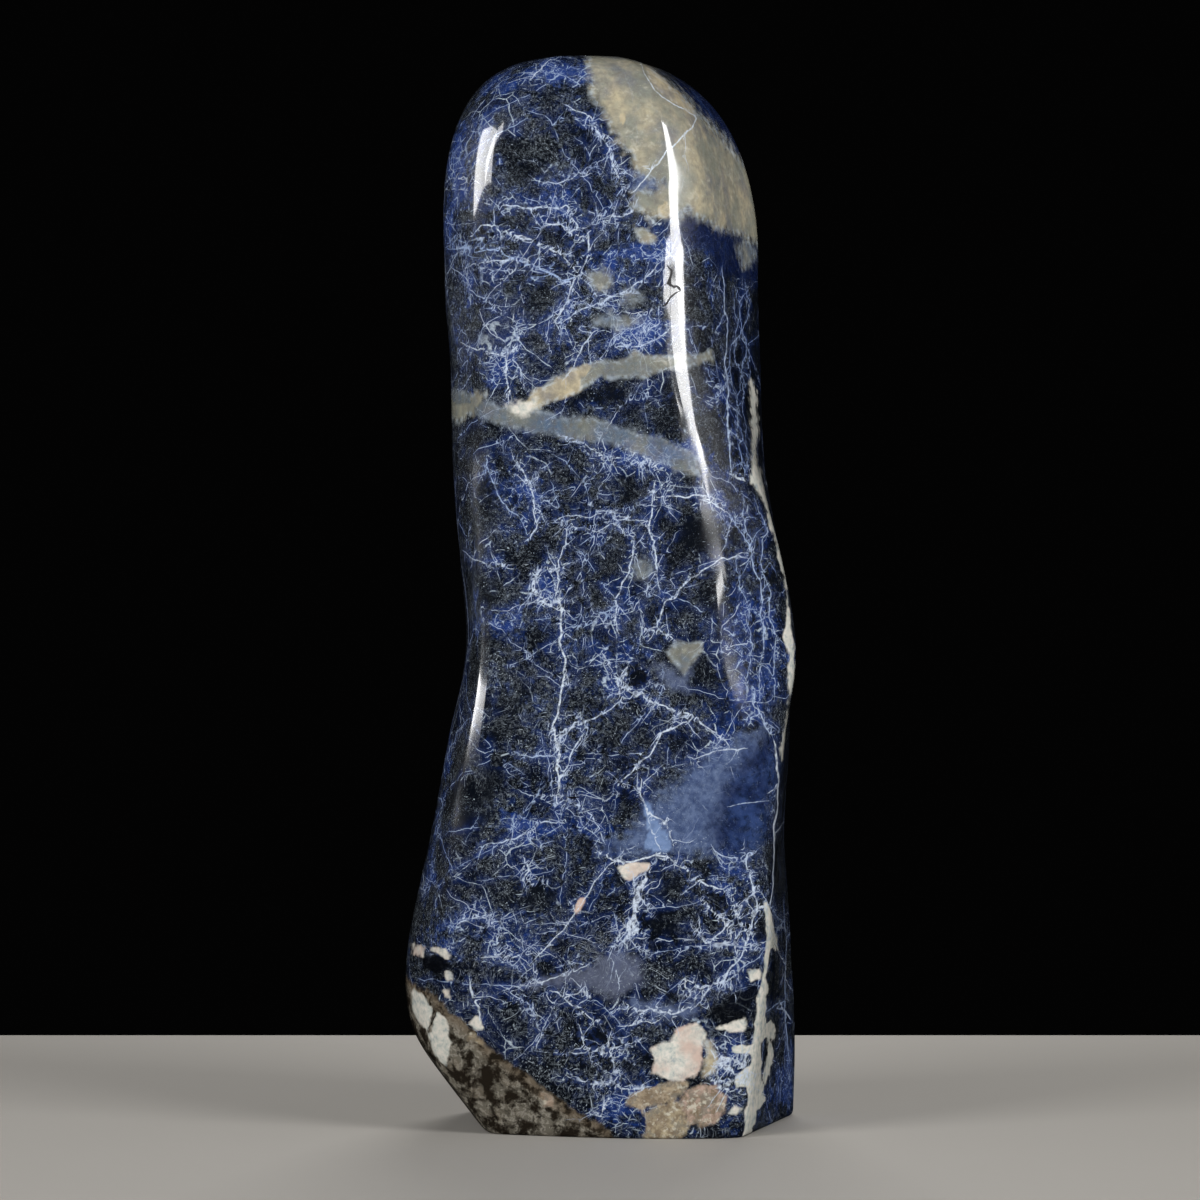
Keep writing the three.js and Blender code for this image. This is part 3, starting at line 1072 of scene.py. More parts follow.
# ---- Working the markings out at every point of the skin ----


class Wrap:
    """Lays drawn lines round the stone: u runs round the axis and v up it, at the frame's own scale."""

    GIRTH_RADIUS = 50.0
    END_GAP = 0.5  # mm that stay free at the base and the top

    def __init__(self, mesh: StoneMesh, form: Freeform) -> None:
        """Keeps the form.

        Args:
            mesh: the stone's skin, for its shift.
            form: the stone's form.
        """
        self.mesh = mesh
        self.form = form

    def land(self, drawn: np.ndarray) -> tuple[np.ndarray, np.ndarray]:
        """Puts each place at angle u / radius and height v.

        Args:
            drawn: places, in frame units.

        Returns:
            Points on the skin in mm, and whether each is clear of the ends.
        """
        angles = drawn[:, 0] * MM_PER_UNIT / self.GIRTH_RADIUS
        heights = drawn[:, 1] * MM_PER_UNIT
        low, high = self.END_GAP, self.form.height - self.END_GAP
        on_stone = (heights > low) & (heights < high)
        heights = np.clip(heights, low, high)
        grid = self.form.points(angles, heights)
        return np.einsum("iik->ik", grid) + self.mesh.shift, on_stone


def jagged(path: np.ndarray, jag: float, step: float, rng: np.random.Generator) -> np.ndarray:
    """Breaks a path up: each piece's middle moves sideways by a normal deviate times jag times its length.

    Args:
        path: the path's places.
        jag: how far a middle moves, as a share of its piece.
        step: the pieces end up shorter than this.
        rng: the random numbers.

    Returns:
        The broken path.
    """
    while np.linalg.norm(np.diff(path, axis=0), axis=1).max() > step:
        run = np.diff(path, axis=0)
        side = np.stack([-run[:, 1], run[:, 0]], axis=1)
        middle = path[:-1] + 0.5 * run + side * rng.normal(0.0, jag, len(run))[:, None]
        longer = np.empty((len(path) + len(middle), 2))
        longer[0::2] = path
        longer[1::2] = middle
        path = longer
    return path


class LineField:
    """At every skin point: the offset and distance to the nearest line, its half width and its tint."""

    REACH = 6.0  # mm
    PIECES = 12  # that are measured together

    def __init__(self, mesh: StoneMesh) -> None:
        """Starts with no line in reach.

        Args:
            mesh: the stone's skin.
        """
        self.mesh = mesh
        count = len(mesh.points)
        self.signed = np.full(count, self.REACH)
        self.distance = np.full(count, self.REACH)
        self.half = np.zeros(count)
        self.tint = np.zeros(count)
        self.rank = np.full(count, self.REACH)

    def add(self, chain: np.ndarray, halves: np.ndarray, tint: float) -> None:
        """Adds one line.

        Args:
            chain: its points on the skin in mm.
            halves: its half width at each.
            tint: its tint.
        """
        for first in range(0, len(chain) - 1, self.PIECES):
            last = min(first + self.PIECES, len(chain) - 1) + 1
            self._add_run(chain[first:last], halves[first:last], tint)

    def _add_run(self, chain: np.ndarray, halves: np.ndarray, tint: float) -> None:
        """Adds a short run of a line, at the skin points in its box.

        Args:
            chain: its points on the skin in mm.
            halves: its half width at each.
            tint: its tint.
        """
        low = chain.min(axis=0) - self.REACH
        high = chain.max(axis=0) + self.REACH
        rows = self.mesh.rows_between(low[2], high[2])
        flat = self.mesh.points[rows, :2]
        near = rows.start + np.flatnonzero(((flat > low[:2]) & (flat < high[:2])).all(axis=1))
        if not len(near):
            return
        points = self.mesh.points[near]
        distance, piece, share = nearest_piece(points, chain[:-1], chain[1:])
        side = np.cross(chain[piece + 1] - chain[piece], points - chain[piece])
        signed = np.where((side * self.mesh.normals[near]).sum(axis=1) < 0.0, -distance, distance)
        half = halves[piece] * (1.0 - share) + halves[piece + 1] * share
        rank = distance - half
        wins = rank < self.rank[near]
        won = near[wins]
        self.rank[won] = rank[wins]
        self.signed[won] = signed[wins]
        self.distance[won] = distance[wins]
        self.half[won] = half[wins]
        self.tint[won] = tint

    def packed(self) -> np.ndarray:
        """Gives offset, distance and half width side by side."""
        return np.stack([self.signed, self.distance, self.half], axis=-1)


class VeinHand:
    """Draws veins with their broken course, taper and side twigs."""

    STEP = 5.0  # frame units
    VEIN_HALF = 0.38  # half width per width
    VEIN_END = 0.35  # of the half width, left at the ends
    TWIG_HALF = 0.42
    TWIG_WIDTHS = (0.2, 0.45)  # of the vein's
    TWIG_TURN = (0.3, 1.1)  # radians off the vein's heading
    TWIG_REACH = (10.0, 36.0)  # frame units
    TWIG_JAG = 0.06
    TURN_BACK = 0.4  # chance that a twig runs backwards
    SPLIT = 0.5  # chance that a twig throws a twig of its own
    SPLIT_HALF = 0.1
    SPLIT_SCALE = 0.7
    UNEVEN = (0.6, 1.3)

    def __init__(self, surface: Pen | Wrap, target: LineField, rng: np.random.Generator) -> None:
        """Keeps where to draw.

        Args:
            surface: what lands the drawing on the skin.
            target: the field to add to.
            rng: the random numbers.
        """
        self.surface = surface
        self.target = target
        self.rng = rng

    def draw(self, vein: Vein) -> None:
        """Draws one vein and its twigs."""
        self.trace(read_places(vein.path), vein.width, vein.twigs, vein.tint, vein.jag)

    def trace(self, course: np.ndarray, width: float, twigs: int, tint: float, jag: float) -> None:
        """Breaks a course up, lays it, and throws twigs off it.

        Args:
            course: its places in frame units.
            width: its width in mm.
            twigs: how many twigs it throws.
            tint: its tint.
            jag: how far it is broken up.
        """
        path = jagged(course, jag, self.STEP, self.rng)
        self._lay(path, self.VEIN_HALF * width, tint, self.VEIN_END)
        for _ in range(twigs):
            twig = self._twig(path)
            half = self.TWIG_HALF * width * self.rng.uniform(*self.TWIG_WIDTHS)
            self._lay(twig, half, tint * 0.8, 0.0)
            if self.rng.random() < self.SPLIT:
                self._lay(self._twig(twig, self.SPLIT_SCALE), self.SPLIT_HALF * width, tint * 0.7, 0.0)

    def _twig(self, path: np.ndarray, scale: float = 1.0) -> np.ndarray:
        """Starts a twig somewhere along a path and leads it off to one side.

        Args:
            path: what it starts on.
            scale: how long it may be, of the usual reach.

        Returns:
            The twig's places.
        """
        at = int(self.rng.integers(0, len(path) - 1))
        run = path[at + 1] - path[at]
        side = self.rng.choice([-1.0, 1.0])
        heading = np.arctan2(run[1], run[0]) + side * self.rng.uniform(*self.TWIG_TURN)
        heading += np.pi * float(self.rng.random() < self.TURN_BACK)
        reach = self.rng.uniform(*self.TWIG_REACH) * scale
        end = path[at] + reach * np.array([np.cos(heading), np.sin(heading)])
        return jagged(np.array([path[at], end]), self.TWIG_JAG, self.STEP, self.rng)

    def _lay(self, path: np.ndarray, half: float, tint: float, end_share: float) -> None:
        """Lands a path and adds it to the field, thinner towards its ends and uneven along its length.

        Args:
            path: places in frame units.
            half: its half width in mm.
            tint: its tint.
            end_share: the share of the width that is left at the ends; a twig has none.
        """
        along = np.linspace(0.0, 1.0, len(path))
        lead, fall = (0.0, 6.0) if end_share else (0.6, 1.6)
        start = end_share + (1.0 - end_share) * np.clip(along * 6.0 + lead, 0.0, 1.0)
        finish = np.clip((1.0 - along) * fall, 0.0, 1.0)
        uneven = self.rng.uniform(*self.UNEVEN, len(path))
        halves = half * start * (end_share + (1.0 - end_share) * finish) * uneven
        landed, on_stone = self.surface.land(path)
        if on_stone.sum() > 1:
            self.target.add(landed[on_stone], halves[on_stone], tint)


class PatchField:
    """How far inside a patch of one kind each skin point is, in edge widths and in mm, and the tint."""

    OUTSIDE = -6.0  # edge widths
    DEEPEST = 20.0  # mm
    SIDE_STEP = 6.0  # frame units between the points of an outline
    SIDE_JAG = 0.07
    MARGIN = 50.0  # frame units round an outline that are measured
    TURN_MARGIN = 0.2  # of the cosine to the view, past its limit
    WHITE_LIMIT = 0.07  # white ends at the rim, past which a drawn place spreads far over the flank

    def __init__(self, mesh: StoneMesh) -> None:
        """Starts with no patch.

        Args:
            mesh: the stone's skin.
        """
        count = len(mesh.points)
        self.value = np.full(count, self.OUTSIDE)
        self.tint = np.zeros(count)
        self.depth = np.full(count, -self.DEEPEST)

    def add(self, pen: Pen, patch: Patch) -> None:
        """Adds one patch: min(signed distance to its outline, run left past the rim) over its edge width.

        Args:
            pen: what lands the outline.
            patch: the patch.
        """
        corners = read_places(patch.outline)
        rng = np.random.default_rng(len(corners))
        outline = jagged(np.concatenate([corners, corners[:1]]), self.SIDE_JAG, self.SIDE_STEP, rng)
        _, on_stone = pen.land(outline)
        kept = on_stone[:-1] & on_stone[1:]
        inside = pen.inside(outline[:-1])
        low = outline.min(axis=0) - self.MARGIN
        high = outline.max(axis=0) + self.MARGIN
        boxed = ((pen.places > low) & (pen.places < high)).all(axis=1)
        near = np.flatnonzero(boxed & (pen.facing > pen.turn_limit - self.TURN_MARGIN))
        if not kept.any() or not len(near):
            return
        units = nearest_piece(pen.places[near], outline[:-1][kept], outline[1:][kept])[0]
        distance = MM_PER_UNIT * units
        signed = np.where(inside[near], distance, -distance)
        limit = max(pen.turn_limit, self.WHITE_LIMIT) if patch.kind is Kind.WHITE else pen.turn_limit
        run = (pen.facing[near] - limit) * pen.RIM_RUN
        depth = np.minimum(signed, run)
        value = np.clip(depth / patch.edge, self.OUTSIDE, -self.OUTSIDE)
        wins = value >= self.value[near]
        won = near[wins]
        self.value[won] = value[wins]
        self.depth[won] = np.clip(depth[wins], -self.DEEPEST, self.DEEPEST)
        self.tint[won] = patch.tint

    def packed(self) -> np.ndarray:
        """Gives value, tint and depth side by side."""
        return np.stack([self.value, self.tint, self.depth], axis=-1)


@dataclass(frozen=True)
class Drawing:
    """Everything that is drawn from one viewpoint."""

    view: Viewpoint
    turn_limit: float
    patches: tuple[Patch, ...]
    veins: tuple[Vein, ...]
    cracks: tuple[Vein, ...] = ()
    clouds: tuple[Cloud, ...] = ()
    dull: tuple[Cloud, ...] = ()


DRAWINGS = (
    Drawing(FRONT, -0.38, FRONT_PATCHES, FRONT_VEINS, FRONT_CRACKS, FRONT_CLOUDS, FRONT_DULL),
    Drawing(REAR, 0.12, REAR_PATCHES, REAR_VEINS, clouds=REAR_CLOUDS),
    Drawing(LEFT, 0.5, LEFT_PATCHES, LEFT_VEINS, clouds=LEFT_CLOUDS),
)


@dataclass
class Markings:
    """Draws every marking onto a skin and stores it there."""

    drawings: tuple[Drawing, ...] = DRAWINGS
    hairlines: int = 300
    hairline_reach: Pair = (40.0, 190.0)
    hairline_width: Pair = (0.14, 0.34)
    hairline_tint: Pair = (0.1, 0.9)
    hairline_twigs: int = 3
    hairline_jag: float = 0.07
    hairline_pieces: int = 5
    seed: int = 7

    def build(self, mesh: StoneMesh, form: Freeform) -> dict[str, np.ndarray]:
        """Works out every field.

        Args:
            mesh: the stone's skin.
            form: the stone's form.

        Returns:
            Three numbers per skin point, under each field's name.
        """
        rng = np.random.default_rng(self.seed)
        veins = LineField(mesh)
        cracks = LineField(mesh)
        patches = {kind: PatchField(mesh) for kind in Kind}
        clouds = np.zeros((len(mesh.points), 3))
        dull = np.zeros(len(mesh.points))
        for drawing in self.drawings:
            pen = Pen(mesh, drawing.view, drawing.turn_limit)
            hand = VeinHand(pen, veins, rng)
            for vein in drawing.veins:
                hand.draw(vein)
            crack_hand = VeinHand(pen, cracks, rng)
            for crack in drawing.cracks:
                crack_hand.draw(crack)
            for patch in drawing.patches:
                patches[patch.kind].add(pen, patch)
            clouds += self._clouds(pen, drawing.clouds)
            dull += self._clouds(pen, drawing.dull)[:, 2]
        hairs = self._hairlines(mesh, form, rng)
        fields = {kind.name.lower(): patches[kind].packed() for kind in Kind}
        fields["veins"] = veins.packed()
        fields["cracks"] = cracks.packed()
        fields["hairs"] = hairs.packed()
        fields["clouds"] = clouds
        fields["tints"] = np.stack([veins.tint, hairs.tint, dull], axis=-1)
        return fields

    @staticmethod
    def _clouds(pen: Pen, clouds: tuple[Cloud, ...]) -> np.ndarray:
        """Adds up clouds: strength times exp(-(du / reach)² - (dv / reach)²), on the side that faces.

        Args:
            pen: where they are seen from.
            clouds: the clouds.

        Returns:
            Fibre, blue and dark at every skin point.
        """
        total = np.zeros((len(pen.places), 3))
        facing = smooth(pen.facing, -0.15, 0.25)
        for cloud in clouds:
            offset = (pen.places - np.array(cloud.centre)) / np.array(cloud.reach)
            weight = np.exp(-(offset**2).sum(axis=1)) * facing
            total += weight[:, None] * np.array([cloud.fibre, cloud.blue, cloud.dark])
        return total

    def _hairlines(self, mesh: StoneMesh, form: Freeform, rng: np.random.Generator) -> LineField:
        """Draws long thin lines all round the stone, each wandering from its own heading.

        Args:
            mesh: the stone's skin.
            form: the stone's form.
            rng: the random numbers.

        Returns:
            The lines' field.
        """
        target = LineField(mesh)
        hand = VeinHand(Wrap(mesh, form), target, rng)
        girth = 2.0 * np.pi * Wrap.GIRTH_RADIUS / MM_PER_UNIT
        for _ in range(self.hairlines):
            start = np.array([rng.uniform(0.0, girth), rng.uniform(10.0, 1090.0)])
            reach = rng.uniform(*self.hairline_reach)
            heading = rng.normal(0.35, 0.8)
            turns = heading + np.cumsum(rng.normal(0.0, 0.25, self.hairline_pieces))
            steps = reach / self.hairline_pieces * np.stack([np.cos(turns), np.sin(turns)], axis=-1)
            path = np.concatenate([start[None], start + np.cumsum(steps, axis=0)])
            width = rng.uniform(*self.hairline_width)
            tint = rng.uniform(*self.hairline_tint)
            hand.trace(path, width, self.hairline_twigs, tint, self.hairline_jag)
        return target


# ---- Shader graphs ----


class Graph:
    """Writes nodes into one tree. Each call adds a node and gives back its output."""

    def __init__(self, tree: bpy.types.NodeTree) -> None:
        """Keeps the tree.

        Args:
            tree: the tree to write into.
        """
        self.tree = tree

    def add(self, kind: str, inputs: dict[Any, Any] | None = None, **settings: Any) -> bpy.types.Node:
        """Adds a node.

        Args:
            kind: the node's type, without its ShaderNode prefix.
            inputs: a socket or value for each input, by name or number.
            settings: the node's own properties.

        Returns:
            The node.
        """
        node = self.tree.nodes.new("ShaderNode" + kind)
        for name, value in settings.items():
            setattr(node, name, value)
        for name, value in (inputs or {}).items():
            self.feed(node.inputs[name], value)
        return node

    def feed(self, target: Socket, value: Any) -> None:
        """Links a socket to an input, or sets the input's value.

        Args:
            target: the input.
            value: the socket or the value.
        """
        if isinstance(value, bpy.types.NodeSocket):
            self.tree.links.new(value, target)
        else:
            target.default_value = value

    def math(self, operation: str, first: Any, second: Any = 0.0, third: Any = 0.0) -> Socket:
        """Works on two or three numbers."""
        return self.add("Math", {0: first, 1: second, 2: third}, operation=operation).outputs[0]

    def plus(self, first: Any, second: Any) -> Socket:
        """Adds two numbers."""
        return self.math("ADD", first, second)

    def times(self, first: Any, *others: Any) -> Socket:
        """Multiplies numbers."""
        return reduce(lambda total, value: self.math("MULTIPLY", total, value), others, first)

    def largest(self, first: Any, *others: Any) -> Socket:
        """Takes the largest number."""
        return reduce(lambda total, value: self.math("MAXIMUM", total, value), others, first)

    def scaled(self, value: Any, factor: Any, onto: Any) -> Socket:
        """Multiplies a number by a factor and adds it onto another."""
        return self.math("MULTIPLY_ADD", value, factor, onto)

    def less(self, value: Any) -> Socket:
        """Takes a number from 1."""
        return self.math("SUBTRACT", 1.0, value)

    def centred(self, value: Any) -> Socket:
        """Takes a half off a number, as noise runs about a half."""
        return self.math("SUBTRACT", value, 0.5)

    def step(self, value: Any, low: Any, high: Any, start: Any = 0.0, end: Any = 1.0) -> Socket:
        """Eases a number from start at low to end at high."""
        inputs = {"Value": value, "From Min": low, "From Max": high, "To Min": start, "To Max": end}
        return self.add("MapRange", inputs, interpolation_type="SMOOTHSTEP").outputs[0]

    def vector(self, operation: str, first: Any, second: Any = ORIGIN, scale: Any = 1.0) -> Socket:
        """Works on one or two vectors, or on one and a scale."""
        inputs = {0: first, 1: second, 3: scale}
        return self.add("VectorMath", inputs, operation=operation).outputs[0]

    def parts(self, vector: Any) -> tuple[Socket, Socket, Socket]:
        """Splits a vector."""
        node = self.add("SeparateXYZ", {0: vector})
        return node.outputs[0], node.outputs[1], node.outputs[2]

    def noise(self, vector: Any, scale: Any, detail: float = 2.0, rough: float = 0.5) -> Socket:
        """Gives fractal noise about 0.5."""
        inputs = {"Vector": vector, "Scale": scale, "Detail": detail, "Roughness": rough}
        return self.add("TexNoise", inputs).outputs[0]

    def noises(self, vector: Any, scale: Any) -> Socket:
        """Gives three fractal noises as a vector."""
        return self.add("TexNoise", {"Vector": vector, "Scale": scale, "Detail": 2.0}).outputs[1]

    def mix(self, share: Any, first: Any, second: Any) -> Socket:
        """Mixes two colours."""
        return self.add("Mix", {0: share, 6: first, 7: second}, data_type="RGBA").outputs[2]

    def layers(self, base: Any, *coats: tuple[Any, Any]) -> Socket:
        """Lays coats, each a share and a colour, over a base in turn."""
        return reduce(lambda below, coat: self.mix(coat[0], below, coat[1]), coats, base)

    def stored(self, name: str) -> Socket:
        """Reads a stored field as one vector."""
        return self.add("Attribute", attribute_name=name).outputs["Vector"]

    def field(self, name: str) -> tuple[Socket, Socket, Socket]:
        """Reads a stored field's three numbers."""
        return self.parts(self.stored(name))

    def use(self, effect: bpy.types.NodeTree, **inputs: Any) -> Outputs:
        """Places a node group.

        Args:
            effect: the group.
            inputs: a socket or value for each input, by name.

        Returns:
            Its outputs.
        """
        node = self.tree.nodes.new("ShaderNodeGroup")
        node.node_tree = effect
        for name, value in inputs.items():
            self.feed(node.inputs[name], value)
        return node.outputs

    def surface(self, shader: bpy.types.Node) -> None:
        """Makes a shader the material's surface."""
        output = self.tree.nodes.new("ShaderNodeOutputMaterial")
        self.feed(output.inputs["Surface"], shader.outputs[0])


def new_material(name: str) -> tuple[bpy.types.Material, Graph]:
    """Starts an empty material.

    Args:
        name: its name.

    Returns:
        The material and its graph.
    """
    material = bpy.data.materials.new(name)
    material.use_nodes = True
    material.node_tree.nodes.clear()
    return material, Graph(material.node_tree)


class Effect:
    """A node group with named inputs and outputs."""

    def __init__(self, name: str, inputs: dict[str, Any], outputs: tuple[str, ...]) -> None:
        """Makes the group and its sockets.

        Args:
            name: the group's name.
            inputs: each input's starting value, a number or a vector.
            outputs: each output's name. One called Place is a vector, any other a number.
        """
        self.tree = bpy.data.node_groups.new(name, "ShaderNodeTree")
        for label, value in inputs.items():
            sort = "NodeSocketVector" if isinstance(value, tuple) else "NodeSocketFloat"
            socket = self.tree.interface.new_socket(label, in_out="INPUT", socket_type=sort)
            socket.default_value = value
        for label in outputs:
            sort = "NodeSocketVector" if label == "Place" else "NodeSocketFloat"
            self.tree.interface.new_socket(label, in_out="OUTPUT", socket_type=sort)
        self.graph = Graph(self.tree)
        self.given = self.tree.nodes.new("NodeGroupInput").outputs
        self.result = self.tree.nodes.new("NodeGroupOutput").inputs

    def give(self, label: str, value: Socket) -> None:
        """Sets one of the group's outputs."""
        self.graph.feed(self.result[label], value)


def wander_effect() -> bpy.types.NodeTree:
    """Shifts a place about by noise: place + (noises - 0.5) · reach.

    Returns:
        The group.
    """
    effect = Effect("Wander", {"Place": ORIGIN, "Scale": 0.1, "Reach": 1.0}, ("Place",))
    graph, given = effect.graph, effect.given
    noises = graph.noises(given["Place"], given["Scale"])
    offset = graph.vector("SCALE", graph.vector("SUBTRACT", noises, (0.5, 0.5, 0.5)), scale=given["Reach"])
    effect.give("Place", graph.vector("ADD", given["Place"], offset))
    return effect.tree


def crackle_effect() -> bpy.types.NodeTree:
    """A net of fine lines along the edges of random cells, thick and thin, and only here and there.

    Line is 1 - ease(distance to the edge in mm, 0.4 · half width, half width + 0.08), times a gate that
    opens where slow noise is above 0.75 - 0.5 · presence.

    Returns:
        The group.
    """
    inputs = {"Place": ORIGIN, "Cell": 8.0, "Width": 0.3, "Presence": 0.5}
    effect = Effect("Crackle", inputs, ("Line", "Halo"))
    graph, given = effect.graph, effect.given
    scale = graph.math("DIVIDE", 1.0, given["Cell"])
    cells = graph.add("TexVoronoi", {"Vector": given["Place"], "Scale": scale}, feature="DISTANCE_TO_EDGE")
    distance = graph.times(cells.outputs["Distance"], given["Cell"])
    thick = graph.step(graph.noise(given["Place"], graph.times(scale, 2.6)), 0.35, 0.7, 0.0, 1.3)
    half = graph.times(given["Width"], 0.5, thick)
    line = graph.less(graph.step(distance, graph.times(half, 0.4), graph.plus(half, 0.08)))
    gate_noise = graph.noise(given["Place"], graph.times(scale, 0.55), 3.0, 0.65)
    shut = graph.scaled(given["Presence"], -0.5, 0.75)
    gate = graph.step(gate_noise, shut, graph.plus(shut, 0.12))
    effect.give("Line", graph.times(line, gate, graph.step(thick, 0.0, 0.5)))
    halo = graph.math("EXPONENT", graph.times(distance, -0.8))
    effect.give("Halo", graph.times(halo, gate))
    return effect.tree


def needles_effect() -> bpy.types.NodeTree:
    """Short straight needles that all lie one way: the points of random cells, drawn out along that way.

    Mask is 1 - ease(distance to the point in cells, 0.35 · thickness, thickness), in a share of the cells.

    Returns:
        The group.
    """
    inputs = {"Place": ORIGIN, "Turn": ORIGIN, "Fineness": (0.08, 1.6, 1.6), "Share": 0.5}
    effect = Effect("Needles", inputs, ("Mask",))
    graph, given = effect.graph, effect.given
    turns = {"Vector": given["Place"], "Rotation": given["Turn"]}
    turned = graph.add("VectorRotate", turns, rotation_type="EULER_XYZ").outputs[0]
    stretched = graph.vector("MULTIPLY", turned, given["Fineness"])
    cells = graph.add("TexVoronoi", {"Vector": stretched, "Scale": 1.0}).outputs
    rank, thick, bright = graph.parts(cells["Color"])
    reach = graph.scaled(thick, 0.22, 0.17)
    mask = graph.less(graph.step(cells["Distance"], graph.times(reach, 0.35), reach))
    there = graph.math("GREATER_THAN", given["Share"], rank)
    effect.give("Mask", graph.times(mask, there, graph.step(bright, 0.0, 1.0, 0.2, 1.0)))
    return effect.tree


def line_effect() -> bpy.types.NodeTree:
    """A stored line: the wider of |offset + wobble| and distance - 0.72 mm, against the line's half width.

    The second keeps the offset's change of sign between two lines from showing as a third.

    Returns:
        The group.
    """
    inputs = {"Field": (LineField.REACH, LineField.REACH, 0.0), "Wobble": 0.0, "Soft": 0.14, "Glow": 1.6}
    effect = Effect("Stored line", inputs, ("Line", "Halo"))
    graph, given = effect.graph, effect.given
    offset, distance, half = graph.parts(given["Field"])
    wobbled = graph.math("ABSOLUTE", graph.plus(offset, given["Wobble"]))
    across = graph.largest(wobbled, graph.math("SUBTRACT", distance, 0.72))
    inner = graph.largest(graph.math("SUBTRACT", half, given["Soft"]), 0.0)
    there = graph.step(half, 0.0, 0.06)
    line = graph.less(graph.step(across, inner, graph.plus(half, given["Soft"])))
    effect.give("Line", graph.times(line, there))
    halo = graph.math("EXPONENT", graph.math("DIVIDE", graph.times(distance, -1.0), given["Glow"]))
    effect.give("Halo", graph.times(halo, there))
    return effect.tree


def fill_effect() -> bpy.types.NodeTree:
    """A stored patch: ease(value + 5 · ragged · (noise - 0.5), -0.9, 0.9).

    Returns:
        The group.
    """
    inputs = {"Value": PatchField.OUTSIDE, "Place": ORIGIN, "Ragged": 1.0}
    effect = Effect("Stored patch", inputs, ("Mask",))
    graph, given = effect.graph, effect.given
    noise = graph.noise(given["Place"], 0.32, 3.0, 0.55)
    offset = graph.times(graph.centred(noise), given["Ragged"], 5.0)
    effect.give("Mask", graph.step(graph.plus(given["Value"], offset), -0.9, 0.9))
    return effect.tree


@dataclass(frozen=True)
class Palette:
    """The stone's colours, as linear values."""

    ink: Colour = shade(10, 14, 22)
    char: Colour = shade(18, 22, 31)
    navy: Colour = shade(13, 26, 56)
    royal: Colour = shade(28, 58, 130)
    haze: Colour = shade(196, 210, 222)
    dust: Colour = shade(192, 203, 213)
    net: Colour = shade(164, 188, 226)
    vein_blue: Colour = shade(138, 166, 214)
    vein_white: Colour = shade(222, 232, 244)
    cream: Colour = shade(202, 188, 156)
    sage: Colour = shade(150, 153, 140)
    buff: Colour = shade(222, 216, 198)
    mist: Colour = shade(110, 128, 166)
    mist_brown: Colour = shade(98, 104, 124)
    blue_grey: Colour = shade(112, 136, 164)
    clear_blue: Colour = shade(46, 67, 116)
    deep_blue: Colour = shade(17, 29, 68)
    white: Colour = shade(240, 234, 224)
    white_grey: Colour = shade(198, 204, 196)
    blush: Colour = shade(212, 184, 170)
    rock_dark: Colour = shade(44, 39, 32)
    rock_grey: Colour = shade(132, 127, 115)
    rock_pale: Colour = shade(206, 200, 186)
    rock_brown: Colour = shade(34, 27, 21)
    rock_tan: Colour = shade(134, 118, 98)
    gloom: Colour = shade(7, 9, 15)
    crack: Colour = shade(14, 13, 16)


@dataclass
class Effects:
    """The node groups that the finishes share."""

    wander: bpy.types.NodeTree
    crackle: bpy.types.NodeTree
    needles: bpy.types.NodeTree
    line: bpy.types.NodeTree
    fill: bpy.types.NodeTree

    @classmethod
    def build(cls) -> Effects:
        """Makes every group once."""
        return cls(wander_effect(), crackle_effect(), needles_effect(), line_effect(), fill_effect())


